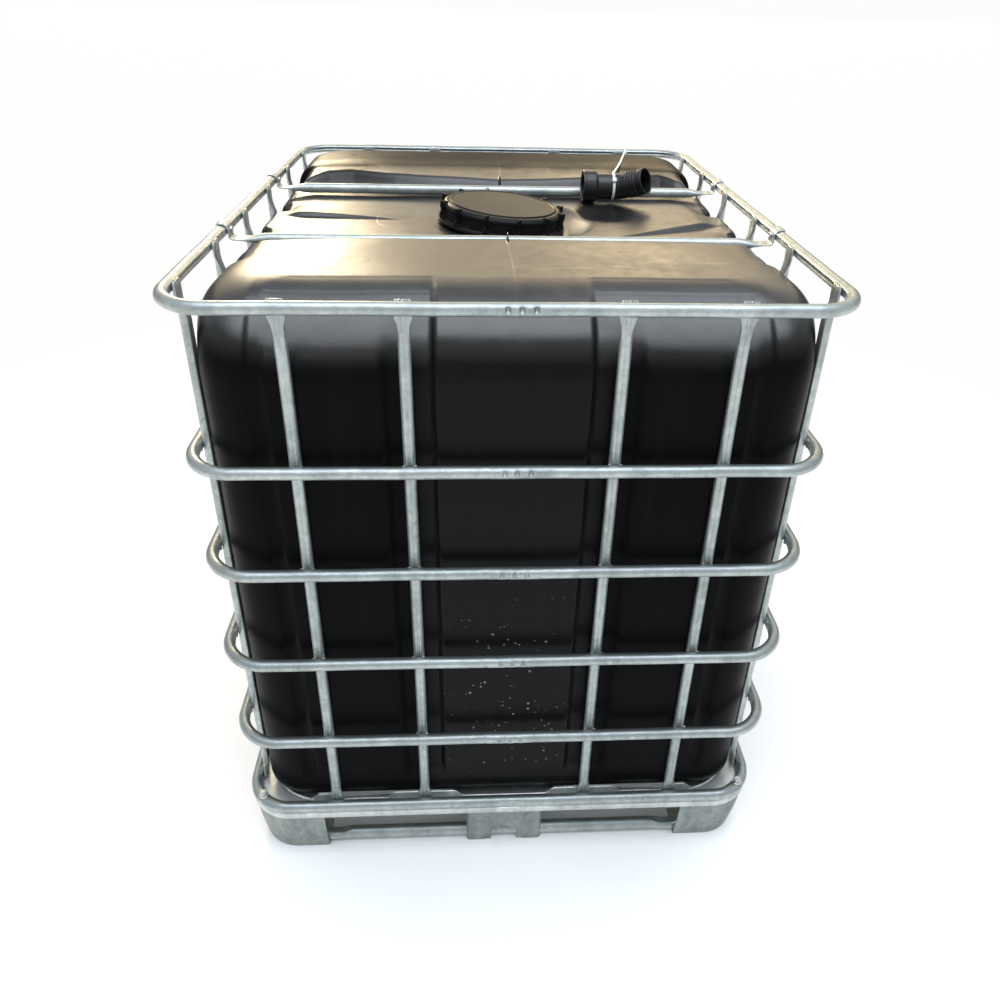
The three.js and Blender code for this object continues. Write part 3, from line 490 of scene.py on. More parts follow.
# ------------------------------------------------------------------ crossbars
def crossbar_mesh(name, y0, seed):
    zc = 1146.5
    half = [(0, 1130.0), (440, 1130.0)]
    # centre line of the flattened strap: dips, turns up inside the ring and wraps over it
    arc = []
    for a in np.linspace(180, 48, 16):
        t = math.radians(a); arc.append((490 + 11.75 * math.cos(t), zc + 11.75 * math.sin(t)))
    path = fillet([(0, 1130), (452, 1130), (478.2, 1131.5)] + [(478.25, zc - 3)] + arc, [0, 30, 9, 3] + [0] * len(arc), 7)
    path = dense(path, 5.0)
    keep = [path[0]]
    for p in path[1:]:
        if np.linalg.norm(p - keep[-1]) > 0.7: keep.append(p)
    path = np.array(keep)
    full = np.concatenate([np.stack([-path[::-1][:, 0], path[::-1][:, 1]], 1), path[1:]])
    d = np.gradient(full, axis=0); d /= np.linalg.norm(d, axis=1)[:, None]
    n = np.stack([-d[:, 1], d[:, 0]], 1)
    ax = np.abs(full[:, 0])
    seg = np.concatenate([[0], np.cumsum(np.linalg.norm(np.diff(full, axis=0), axis=1))]); mid = seg[-1] / 2
    q = np.abs(seg - mid)
    f = sstep(q, 418, 462)
    A = np.linspace(0, 2 * np.pi, 36, endpoint=False)
    hw = 10 * (1 - f) + 14 * f; hh = 10 * (1 - f) + 1.45 * f
    e = 1 - 0.62 * f
    ca, sa = np.cos(A), np.sin(A)
    W = hw[:, None] * np.sign(ca) * np.abs(ca) ** e[:, None]
    H = hh[:, None] * np.sign(sa) * np.abs(sa) ** e[:, None]
    H = H + (f * (1 - f) * 4 * 1.0)[:, None] * np.where(sa > 0, -np.exp(-(W / 5) ** 2) * 2.2, 0)
    endr = 1 - sstep(seg[-1] / 2 - q, 0, 5)
    W = W * (1 - 0.2 * endr[:, None])
    P = np.stack([full[:, 0][:, None] + n[:, 0][:, None] * H, y0 + W, full[:, 1][:, None] + n[:, 1][:, None] * H], 2)
    V, F = sweep(P, False, True)
    return from_lists(name + "_skin", V, F, STEEL, "container", (name,), angle=None)
crossbar_mesh("crossbar_front", -202, 1)
crossbar_mesh("crossbar_rear", 202, 2)

# ------------------------------------------------------------------ bottle
HX, HY, BR = 465.2, 565.2, 75.0
TILT = math.radians(5)
def gauss(a, sigma):
    k = np.exp(-0.5 * (np.arange(-3 * sigma, 3 * sigma + 1) / sigma) ** 2); k /= k.sum()
    p = len(k) // 2
    return np.convolve(np.concatenate([2 * a[0] - a[p:0:-1], a, 2 * a[-1] - a[-2:-p - 2:-1]]), k, "valid")
def bottle_mesh():
    nst_x, nst_y, nc = 230, 230, 30
    seg, fr = [], []
    for k in range(4):
        n = nst_x if k % 2 == 0 else nst_y
        t = np.linspace(0, 1, n, endpoint=False)
        # finer at the parting line in the middle of the short sides
        f = t - 0.055 * np.sin(2 * np.pi * (t - 0.5)) * np.exp(-((t - 0.5) / 0.16) ** 2) if k % 2 == 0 else t
        seg += [2 * k] * n; fr += list(f)
        seg += [2 * k + 1] * nc; fr += list(np.linspace(0, 1, nc, endpoint=False))
    seg = np.array(seg); fr = np.array(fr)
    def contour(hx, hy, r):
        a, b = hx - r, hy - r
        x = np.zeros(len(seg)); y = np.zeros(len(seg)); nx = np.zeros(len(seg)); ny = np.zeros(len(seg))
        S = {0: (-a, -hy, 2 * a, 0, 0, -1), 2: (hx, -b, 0, 2 * b, 1, 0), 4: (a, hy, -2 * a, 0, 0, 1), 6: (-hx, b, 0, -2 * b, -1, 0)}
        C = {1: (a, -b, -90), 3: (a, b, 0), 5: (-a, b, 90), 7: (-a, -b, 180)}
        for k, v in S.items():
            m = seg == k; x[m] = v[0] + v[2] * fr[m]; y[m] = v[1] + v[3] * fr[m]; nx[m] = v[4]; ny[m] = v[5]
        for k, v in C.items():
            m = seg == k; t = np.radians(v[2] + 90 * fr[m]); x[m] = v[0] + r * np.cos(t); y[m] = v[1] + r * np.sin(t); nx[m] = np.cos(t); ny[m] = np.sin(t)
        return x, y, nx, ny
    # profile above z 940: inset of the short sides, inset of the long sides, shrink, height
    T = np.radians(np.linspace(0, 86, 260)); zs = 1018 + 122 * np.sin(T); zE = zs[-1]
    q = np.clip((zs - 1085) / (zE - 1085), 0, 1)
    wz = np.arange(940, 1018, 1.0)
    iy = np.concatenate([wz * 0, 150 * (1 - np.cos(T))]); ix = np.concatenate([wz * 0, 72 * (1 - (1 - q ** 2.55) ** (1 / 2.55))])
    ib = np.concatenate([wz * 0, 60 * (1 - (1 - q ** 2.4) ** (1 / 2.4))])
    kk = np.linspace(1, 0.012, 480)[1:]; dome = zE + 8.6 * (1 - kk ** 2)
    prof = np.stack([np.concatenate([iy, kk * 0 + iy[-1]]), np.concatenate([ix, kk * 0 + ix[-1]]), np.concatenate([iy * 0 + 1, kk]), np.concatenate([wz, zs, dome]), np.concatenate([ib, kk * 0 + ib[-1]])], 1)
    yline = (HY - prof[:, 0]) * prof[:, 2]
    d = np.concatenate([[0], np.cumsum(np.hypot(np.diff(yline), np.diff(prof[:, 3])))])
    sd = np.arange(0, d[-1], 1.0); prof = np.stack([np.interp(sd, d, prof[:, i]) for i in range(5)], 1)
    for i in (0, 1, 3, 4): prof[:, i] = gauss(prof[:, i], 9)
    sel = np.unique(np.concatenate([np.arange(2, 240, 4), np.arange(240, len(sd) - 1, 4)]))
    rows = []
    for k in (0.25, 0.5, 0.75, 0.9): rows.append(("flat", k, 0, 0, 113.0))
    for a in np.linspace(0, 90, 14): rows.append(("edge", 0, a, 0, 0))
    for z in np.concatenate([np.arange(164, 240, 5.0), np.arange(240, 290, 10.0), np.arange(290, 326, 4.5), np.arange(330, 938, 14.0)]): rows.append(("wall", 1, 0, 0, z))
    for i in sel: rows.append(("prof", prof[i, 2], prof[i, 1], (prof[i, 0], prof[i, 4]), prof[i, 3]))
    nr = len(rows)
    P = np.zeros((nr, len(seg), 3)); NC = np.zeros((nr, len(seg), 2))
    for i, (kind, k, a, c, z) in enumerate(rows):
        if kind == "flat":
            x, y, nx, ny = contour(HX - 46, HY - 46, 100); P[i] = np.stack([x * k, y * k, np.full_like(x, z)], 1)
        elif kind == "edge":
            t = math.radians(a); ins = 46 * (1 - math.sin(t)); x, y, nx, ny = contour(HX - ins, HY - ins, BR + 0.543 * ins)
            P[i] = np.stack([x, y, np.full_like(x, 113 + 46 * (1 - math.cos(t)))], 1)
        elif kind == "wall":
            x, y, nx, ny = contour(HX, HY, BR); P[i] = np.stack([x, y, np.full_like(x, z)], 1)
        else:
            x, y, nx, ny = contour(HX - a, HY - (c[0] + c[1]) / 2, BR); y = (y + (c[0] - c[1]) / 2) * k
            P[i] = np.stack([x * k, y, z + 17.0 * sstep(y, 228, 390) * sstep(z, 1082, 1140)], 1)
        NC[i] = np.stack([nx, ny], 1)
    dr = np.gradient(P, axis=0); dc = (np.roll(P, -1, 1) - np.roll(P, 1, 1))
    N = np.cross(dc, dr); N /= np.maximum(np.linalg.norm(N, axis=2, keepdims=True), 1e-9)
    phi = np.degrees(np.arcsin(np.clip(N[..., 2], -1, 1)))
    X, Y, Z = P[..., 0].copy(), P[..., 1].copy(), P[..., 2].copy()
    # pressed channels: a wide inner and a narrow outer one on the short sides, two on each long side.
    # On the shoulder the panel between two channels sinks away, so both run into one shallow recess.
    aX, aY = np.abs(X), np.abs(Y)
    zlo = sstep(Z, 176, 208)
    zlo2 = np.where((Y > 0) & (aX < 280), sstep(Z, 312, 344), zlo)
    pf = 1 - sstep(phi, 2, 78)
    fz = 1 - sstep(phi, 45, 88)
    wf = sstep(np.abs(NC[..., 1]), 0.80, 0.95)
    R1 = sstep(aX, 112, 123) * (1 - sstep(aX, 377, 388)); P1 = sstep(aX, 180, 200) * (1 - sstep(aX, 356, 371))
    wsd = sstep(np.abs(NC[..., 0]), 0.90, 0.99)
    R2 = sstep(aY, 54, 74) * (1 - sstep(aY, 326, 346)); P2 = sstep(aY, 124, 146) * (1 - sstep(aY, 254, 276))
    dep = (R1 * (10.5 + 4.0 * sstep(phi, 8, 40)) - P1 * pf * 10.5) * (1 - 0.45 * sstep(aX, 356, 372)) * wf * fz * zlo2 + 13.0 * (R2 - P2 * pf) * wsd * (1 - sstep(phi, 46, 88)) * zlo
    # panels stand very slightly proud between the bars that hold them
    dep = dep + 0.35 + 0.9 * np.sin(Z / 118.0 + 0.6) ** 2 * (phi < 12) * (Z > 180) * (Z < 980)
    P = P - N * dep[..., None]
    X, Y, Z = P[..., 0], P[..., 1], P[..., 2]
    # ---- top: middle level, steps up to the pillows, neck recess, creases
    up = sstep(Z, 1035, 1078)
    yy = np.abs(Y)
    sh = np.interp(X, [-420, -380, -330, -232, -153, -13, 100, 161, 374, 410], [30, 58, 62, 32, 15, 0, 4, 12, 62, 34])
    sh = np.where(Y > 0, sh, 0.0)
    lim = 1116.5 + 70 * np.clip((yy - 214 - sh) / 52, 0, 3) ** 1.25
    Zt = smin(Z, lim, 8.0)
    midw = (1 - sstep(yy, 200, 240)) * sstep(Z, 1088, 1112)
    tabw = np.exp(-((yy - 236) / 24) ** 2)
    Zt = Zt - midw * 3.0 * (np.abs(X) / 450) ** 2
    def crease(ax, ay, bx, by, h, back):
        L = math.hypot(bx - ax, by - ay); ux, uy = (bx - ax) / L, (by - ay) / L
        s_ = (X - ax) * ux + (Y - ay) * uy; e = -(X - ax) * uy + (Y - ay) * ux
        if ux < 0: e = -e
        amp = np.clip(1 - s_ / L, 0, 1) ** 0.8 * sstep(s_, -60, 10)
        return h * amp * (sstep(e, -4.5, 4.5) * np.exp(-np.clip(e, 0, None) / back)) * midw * (1 - 0.85 * sstep(np.abs(X), 392, 438))
    Zt = Zt + crease(-455, 30, -188, -12, 11.5, 110.0)
    Zt = Zt + crease(458, -10, 200, -128, 12.5, 130.0)
    # the long sides' channels pinch the edge of the middle level
    for yc in (-100, 100):
        Zt = Zt - 8.0 * np.exp(-((Y - yc) / 30) ** 2) * sstep(np.abs(X), 400, 452) * midw
    Zt = Zt - 11.0 * np.exp(-(((X - 222) / 62) ** 2 + ((Y - 62) / 56) ** 2) ** 1.5) * midw
    Zt = Zt - 2.5 * np.exp(-(((X + 60) / 120) ** 2 + ((Y - 120) / 60) ** 2)) * midw
    s5, c5 = math.sin(TILT), math.cos(TILT)
    loc_x = X * c5 - (Zt - 1130) * s5
    rr = np.sqrt(loc_x ** 2 + Y ** 2)
    zr = 1130 + (-23.5 - s5 * X) / c5 + 0.42 * np.clip(rr - 136, 0, None) + 0.004 * np.clip(rr - 136, 0, None) ** 2
    Zt = smin(Zt, zr, 6.0)
    Z2 = Z + (Zt - Z) * up
    # parting line, with flash tabs at the two steps
    w = np.exp(-((X - 1.5 + 1.2 * np.sin(Y / 60)) / 1.4) ** 2)
    w = np.maximum(w, 0)
    tab = np.exp(-((yy - np.where(Y > 0, 244, 242)) / 19) ** 4) * np.where(Y > 0, 0.8, 1.0)
    onface = (phi > -5) * (np.abs(X) < 12)
    hgt = w * (0.7 + 13.0 * tab * up) * onface
    nyv = np.where(Y < 0, -1.0, 1.0)
    front = (1 - sstep(Z2, 1040, 1110)) * (yy > 400)
    Z2 = Z2 + hgt * (1 - front)
    Y2 = Y + hgt * front * nyv * 0.35 * sstep(Z2, 900, 1020)
    Z2 = Z2 + 0.9 * up * np.sin(X / 47 + 1.3) * np.sin(Y / 58 + 0.4) * sstep(rr, 150, 220)
    # ---- niche for the outlet valve
    nw = sstep(Y2, 430, 470) * (1 - sstep(np.abs(X), 110, 124)) * sstep(Z2, 113.5, 128) * (1 - sstep(Z2, 296, 312)) * (phi < 10)
    Y2 = Y2 - nw * 112
    P = np.stack([X, Y2, Z2], 2)
    V = P.reshape(-1, 3); M_, N_ = P.shape[:2]
    F = [list(f) for f in grid_faces(M_, N_, False, True, flip=True)]
    V = list(V)
    b = len(V); V.append(np.array([0, 0, 113.0])); t = len(V); V.append(P[-1].mean(0))
    for k in range(N_):
        F.append([b, (k + 1) % N_, k]); F.append([t, (M_ - 1) * N_ + k, (M_ - 1) * N_ + (k + 1) % N_])
    return V, F
V, F = bottle_mesh()
bottle = from_lists("bottle_skin", V, F, HDPE, "container", ("bottle",), angle=None)

s5, c5 = math.sin(TILT), math.cos(TILT)
NECKM = np.array([[c5, 0, s5, 0], [0, 1, 0, 0], [-s5, 0, c5, 1130], [0, 0, 0, 1]], float)
def thread(TH, R, Z, zlo, zhi, lead, h, outer=True):
    ph = np.mod(Z / lead - TH / (2 * np.pi), 1.0)
    bump = np.exp(-((ph - 0.5) / 0.16) ** 2) * sstep(Z, zlo, zlo + 2) * (1 - sstep(Z, zhi - 2, zhi))
    return R + (h if outer else -h) * bump
V, F = lathe(dense(fillet([[101, -55], [101, 10.2], [102.2, 11.4], [109.6, 11.4], [110.6, 10.4], [110.6, -55]], 1, 3), 1.6), 200, NECKM, True,
             lambda TH, R, Z: (np.where(R > 106, thread(TH, R, Z, -16, 8, 8.0, 1.7), R), Z))
from_lists("bottle_neck", V, F, HDPE, "container", (), angle=None)

# ------------------------------------------------------------------ filling lid
def lid_mesh():
    prof = fillet([[0.5, 17.6], [22, 18.0], [60, 18.6], [96, 18.9], [99.4, 19.1], [100.8, 20.3], [103.4, 20.3], [104.7, 19.0], [105.2, 17.3], [107.4, 17.2], [108.2, 18.1], [111.6, 17.7], [115.5, 15.2],
                   [118.2, 11.5], [118.5, 7.5], [117.0, 6.6], [117.0, -12.6], [118.4, -14.2], [126.2, -14.2], [126.8, -14.8], [126.8, -19.4], [126.2, -20.0], [114.2, -20.0], [113.7, -19.4], [113.7, 16.0], [0.5, 16.0]],
                  [0, 3, 8, 0.8, 0.5, 0.6, 0.6, 0.5, 0.4, 0.4, 0.4, 0.6, 1.2, 1.5, 0.4, 0.4, 0.5, 0.5, 0.5, 0.25, 0.25, 0.25, 0.25, 0.25, 1.0, 0], 3)
    prof = dense(prof, 1.8)
    n = 900
    def rf(TH, R, Z):
        a = np.mod(TH - math.radians(13) + math.pi / 12, math.pi / 6) - math.pi / 12
        arc = np.abs(a) * 120
        rib = 1 - sstep(arc, 2.5, 3.3)
        outer = (R > 108.0) & (Z > -14.0) & (Z < 19.0) & ~((R < 114.6) & (Z < 16.2))
        t = sstep(R, 108.0, 117.0) * outer
        grow = R + rib * t * (126.3 - np.minimum(R, 118.5))
        # fin tops stand level with the rim; the fins sink in a little towards the flange
        Zn = Z + rib * outer * (Z > 6) * sstep(Z, 8.5, 11.5) * (19.6 - Z) * sstep(R, 108.0, 112.0)
        grow = grow - rib * t * 2.2 * np.exp(-((Z - 1.0) / 5.0) ** 2)
        # thick foot of each fin where it meets the flange
        toe = (1 - sstep(arc, 5.0, 6.6)) * (1 - rib) * (1 - sstep(Z, -11.5, -8.0))
        grow = grow + toe * t * (123.5 - np.minimum(R, 118.5))
        nz = Zn - Z
        return grow, Z + nz
    return lathe(prof, n, NECKM, True, rf)
V, F = lid_mesh()
from_lists("fill_lid_skin", V, F, LIDM, "lid", ("fill_lid",), angle=38)

# ------------------------------------------------------------------ outlet valve group
OUTM = np.array([[1, 0, 0, 0], [0, 0, 1, 0], [0, -1, 0, 200], [0, 0, 0, 1]], float)  # local z -> +Y
V, F = lathe(dense(fillet([[24.2, 440], [24.2, 477.2], [24.9, 478], [29.2, 478], [29.9, 477.2], [29.9, 462], [33.5, 458], [42, 456], [46, 440]], [0, .5, .5, .5, .5, 2, 3, 2, 0], 3), 2.0), 96, OUTM, True)
from_lists("bottle_outlet", V, F, HDPE, "container", (), angle=40)
def grips(n, r0, h, w, zlo, zhi):
    def rf(TH, R, Z):
        a = np.mod(TH, 2 * np.pi / n) - np.pi / n
        rib = 1 - sstep(np.abs(a) * r0, w * 0.55, w * 0.8)
        return np.where(R > r0 - 2.2, R + h * rib * sstep(Z, zlo, zlo + 2.5) * (1 - sstep(Z, zhi - 2.5, zhi)) * sstep(R, r0 - 2.2, r0 - 0.4), R), Z
    return rf
V, F = lathe(dense(fillet([[30.6, 461], [41.6, 461], [43, 462.4], [43, 487], [39.4, 491.4], [28.2, 491.4], [28.2, 488.5], [30.6, 488.5]], [0.6, 1, 1, 2, 1.5, .4, .4, .4], 3, True), 1.6), 288, OUTM, True, grips(8, 43, 3.2, 6.5, 462, 488))
from_lists("outlet_nut_skin", V, F, LIDM, "container", ("outlet_nut",), angle=38)
V, F = lathe(dense(fillet([[24.5, 480.8], [30, 480.8], [30, 488], [27.5, 488.4], [27.5, 496], [33, 500.5], [33, 535], [29.4, 540], [29.4, 563], [28.4, 564], [24.5, 564]], [0.4, 0.8, 0.6, 1, 2, 3, 3, 1, 1, 0.5, 0.4], 3, True), 1.4), 192, OUTM, True,
             lambda TH, R, Z: (np.where((R > 28) & (Z > 541), thread(TH, R, Z, 543, 562, 6.0, 0.55) - 0.25, R), Z))
from_lists("valve_body_skin", V, F, VALVEM, "container", ("valve_body",), angle=38)
BOSS = np.array([[1, 0, 0, 0], [0, 1, 0, 518], [0, 0, 1, 200], [0, 0, 0, 1]], float)
V, F = lathe(dense(fillet([[4.5, 27], [13.6, 27], [12.8, 40.8], [11.8, 42], [5.2, 42], [4.5, 41.4]], [0, 0, 1, .6, .4, .3], 3, True), 1.5), 64, BOSS, True)
from_lists("valve_boss", V, F, VALVEM, "container", (), angle=38)
V, F = lathe(dense(fillet([[0.4, 567.1], [30.4, 567.1], [30.4, 546.4], [31.2, 546], [36.4, 546], [37, 546.6], [37, 569], [34.5, 571.4], [22, 571.4], [20.5, 570.4], [0.4, 570.4]], [0, .5, .4, .4, .4, .5, 1.5, 1, .6, .6, 0], 3), 1.4), 300, OUTM, True, grips(10, 37, 2.3, 6.0, 547, 569))
from_lists("outlet_cap_skin", V, F, REDM, "cap", ("outlet_cap",), angle=38)

def plate_outline(pts, z0, z1, bev=1.2, n=4):
    """rounded slab from a 2D outline: sections shrink towards both faces"""
    pts = np.asarray(pts, float); c = pts.mean(0)
    d = np.roll(pts, -1, 0) - np.roll(pts, 1, 0); d /= np.linalg.norm(d, axis=1)[:, None]
    nor = np.stack([d[:, 1], -d[:, 0]], 1)
    area = 0.5 * np.sum(pts[:, 0] * np.roll(pts[:, 1], -1) - np.roll(pts[:, 0], -1) * pts[:, 1])
    if area < 0: nor = -nor
    rows = []
    for k in range(n + 1):
        t = k / n * math.pi / 2; rows.append((bev * (1 - math.sin(t)), z0 + bev * (1 - math.cos(t))))
    for k in range(n + 1):
        t = k / n * math.pi / 2; rows.append((bev * (1 - math.cos(t)), z1 - bev * (1 - math.sin(t))))
    return np.array([np.column_stack([pts - nor * ins, np.full(len(pts), z)]) for ins, z in rows])
lev = fillet([[-8, -10.5], [10, -9.2], [64, -7.6], [74.5, -6], [74.5, 6], [64, 7.6], [10, 9.2], [-8, 10.5], [-11.6, 0]], [6, 3, 6, 5, 5, 6, 3, 6, 9], 6, True)
P = plate_outline(lev, 247.2, 254.0, 1.6)
# finger pull: the tip turns down
drop = sstep(P[..., 0], 60, 68)[..., None] * 0
P[..., 1] += 518
V, F = sweep(P, False, True)
v2, f2 = lathe(dense(fillet([[4.6, 243.2], [11.2, 243.2], [12, 244], [12, 254.2], [11, 255.1], [2.9, 255.1], [2.9, 253], [4.6, 252]], [.3, .6, .6, .8, .6, .2, .2, .2], 3, True), 1.5), 64, np.array([[1, 0, 0, 0], [0, 1, 0, 518], [0, 0, 1, 0], [0, 0, 0, 1]], float), True)
o = len(V); V = list(V) + v2; F = F + [[i + o for i in q] for q in f2]
tipo = fillet([[62, -7.4], [74.6, -5.8], [74.6, 5.8], [62, 7.4]], [2, 4, 4, 2], 4, True)
P = plate_outline(tipo, 242.4, 250, 1.5); P[..., 1] += 518
v3, f3 = sweep(P, False, True); o = len(V); V += list(v3); F += [[i + o for i in q] for q in f3]
from_lists("valve_handle_skin", V, F, REDM, "valve_rotor", ("valve_handle",), angle=38)

# ------------------------------------------------------------------ tray
def tray_mesh():
    hx, hy, R = 466.4, 566.4, 113.0
    L = rr_path(hx, hy, R, np.array([0.0]))[4]
    n = int(L / 4.0); s = np.arange(n) * L / n
    x, y, nx, ny, _ = rr_path(hx, hy, R, s)
    def pat(u, segs):
        v = np.zeros_like(u)
        for a, b in segs: v = np.maximum(v, sstep(u, a - 17, a + 3) * (1 - sstep(u, b - 3, b + 17)))
        return v
    fb = sstep(np.abs(ny), 0.93, 0.995); sd = sstep(np.abs(nx), 0.93, 0.995)
    high = pat(np.abs(x), [(97, 216), (330, 362)]) * fb + pat(np.abs(y), [(60, 140), (262, 338), (424, 450)]) * sd
    zc = 126.3 + 15.0 * high
    # sheet section going round: lip, flange, rim with a rolled edge, inner wall down to the floor
    P = []
    ox, oy, Ro = 498.0, 598.0, 84.0
    xo, yo = np.zeros(n), np.zeros(n)
    # matching outer path by normal direction: offset of this path, corner radius differs a little
    def off(d): return x + nx * d, y + ny * d
    def lin(t):  # between rim wall (t=0) and lip (t=1) using the outer rounded rectangle at the same fraction
        return x + (xo_ - x) * t, y + (yo_ - y) * t
    # outer rounded rectangle sampled at the same segment fractions
    def frac_path(hx2, hy2, r2):
        a, b, q = hx - R, hy - R, R * math.pi / 2
        lens = [a, q, 2 * b, q, 2 * a, q, 2 * b, q, a]
        a2, b2, q2 = hx2 - r2, hy2 - r2, r2 * math.pi / 2
        lens2 = [a2, q2, 2 * b2, q2, 2 * a2, q2, 2 * b2, q2, a2]
        c1 = np.concatenate([[0], np.cumsum(lens)]); c2 = np.concatenate([[0], np.cumsum(lens2)])
        return rr_path(hx2, hy2, r2, np.interp(s, c1, c2))[:2]
    xo_, yo_ = frac_path(ox - 0.2, oy - 0.2, Ro)
    xm, ym = frac_path(468.0, 568.0, 112.0)
    def ring(xx, yy, z): P.append(np.stack([xx, yy, np.broadcast_to(z, xx.shape)], 1))
    dx, dy = xo_ - x, yo_ - y; dl = np.sqrt(dx ** 2 + dy ** 2)
    def at(d): return x + dx / dl * d, y + dy / dl * d
    width = dl
    wav = 0.5 * np.sin(s / 33.0) + 0.35 * np.sin(s / 13.0 + 1)
    # outside of the sheet, from the lip's lower edge up and in
    ring(*at(width - 1.6), 112.9); ring(*at(width - 0.3), 112.7); ring(*at(width), 113.4); ring(*at(width), 119.0); ring(*at(width - 0.2), 122.0)
    ring(*at(width - 1.4), 124.0); ring(*at(width - 3.2), 124.6)
    ring(*at(22.0), 124.6); ring(*at(14.5), 124.4)
    step = np.clip(zc - 126.3, 0, 20) / 15
    ring(*at(8.5), 124.2 + 1.0 * step); ring(*at(4.6), 124.6 + 4.5 * step); ring(*at(2.4), zc - 4.5 + 2.2)
    # rolled bright edge
    for a in np.linspace(-10, 190, 9):
        t = math.radians(a); ring(*at(0.2 + 2.3 * math.cos(t)), zc - 2.0 + 2.3 * math.sin(t))
    ring(*at(-2.0), zc - 5.0); ring(*at(-2.4), 119.0); ring(*at(-4.2), 114.2); ring(*at(-9.0), 112.3)
    # inner floor strip, then back underneath
    ring(*at(-30.0), 112.3); ring(*at(-30.0), 110.6); ring(*at(-8.0), 110.6); ring(*at(-2.6), 112.6); ring(*at(-0.9), 117.0); ring(*at(-0.5), 121.0); ring(*at(3.0), 122.8); ring(*at(22.0), 122.9); ring(*at(width - 3.0), 122.9); ring(*at(width - 1.6), 121.4)
    P = np.array(P).transpose(1, 0, 2)
    P[..., 2] += 0.0
    V, F = sweep(P, True, False)
    V = list(V)
    # ribbed floor sheet under the bottle
    fx = np.linspace(-438, 438, 110); fy = np.linspace(-538, 538, 120)
    GX, GY = np.meshgrid(fx, fy, indexing="ij")
    rib = sum(np.exp(-((np.abs(GX) - c) / 13.0) ** 2) for c in (48, 355)) * (1 - sstep(np.abs(GY), 470, 505))
    rib2 = sum(np.exp(-((np.abs(GY) - c) / 13.0) ** 2) for c in (60, 465)) * (1 - sstep(np.abs(GX), 385, 415))
    corner = np.sqrt(np.clip(np.abs(GX) - 352, 0, None) ** 2 + np.clip(np.abs(GY) - 452, 0, None) ** 2)
    k = np.where(corner > 84, 84 / np.maximum(corner, 1e-6), 1.0)
    GX = np.where(np.abs(GX) > 352, np.sign(GX) * (352 + (np.abs(GX) - 352) * k), GX)
    GY = np.where(np.abs(GY) > 452, np.sign(GY) * (452 + (np.abs(GY) - 452) * k), GY)
    zt = 112.2 - 3.6 * np.maximum(rib, rib2)
    T = np.stack([GX, GY, zt], 2); B = np.stack([GX, GY, zt - 1.6], 2)
    o = len(V); U_, V_ = GX.shape
    V += list(T.reshape(-1, 3)); F += [list(q + o) for q in grid_faces(U_, V_, False, False)]
    o2 = len(V); V += list(B.reshape(-1, 3)); F += [list(q + o2) for q in grid_faces(U_, V_, False, False, True)]
    edge = [i * V_ for i in range(U_)] + [(U_ - 1) * V_ + j for j in range(1, V_)] + [i * V_ + V_ - 1 for i in range(U_ - 2, -1, -1)] + [j for j in range(V_ - 2, 0, -1)]
    for a, b in zip(edge, edge[1:] + edge[:1]): F.append([o + b, o + a, o2 + a, o2 + b])
    return V, F
V, F = tray_mesh()
from_lists("tray_skin", V, F, ZINC, "container", ("tray",), angle=50)

# ------------------------------------------------------------------ feet
def shell_from_path(path, nor, zs, prof_out, t):
    """closed sheet wall: path (n,2) outer line, nor outward, prof_out(z) extra outward offset, thickness t"""
    outer = np.array([np.column_stack([path + nor * prof_out(z)[:, None] if hasattr(prof_out(z), "__len__") else path + nor * prof_out(z), np.full(len(path), z)]) for z in zs])
    inner = np.array([np.column_stack([path + nor * (prof_out(z) - t) if not hasattr(prof_out(z), "__len__") else path + nor * (prof_out(z) - t)[:, None], np.full(len(path), z)]) for z in zs])
    U, N = outer.shape[:2]
    V = np.concatenate([outer.reshape(-1, 3), inner.reshape(-1, 3)])
    F = [list(q) for q in grid_faces(U, N, False, False, True)]
    F += [list(q + U * N) for q in grid_faces(U, N, False, False, False)]
    edge = [i * N for i in range(U)] + [(U - 1) * N + j for j in range(1, N)] + [i * N + N - 1 for i in range(U - 2, -1, -1)] + [j for j in range(N - 2, 0, -1)]
    o2 = U * N
    for a, b in zip(edge, edge[1:] + edge[:1]): F.append([a, b, o2 + b, o2 + a])
    return list(V), F

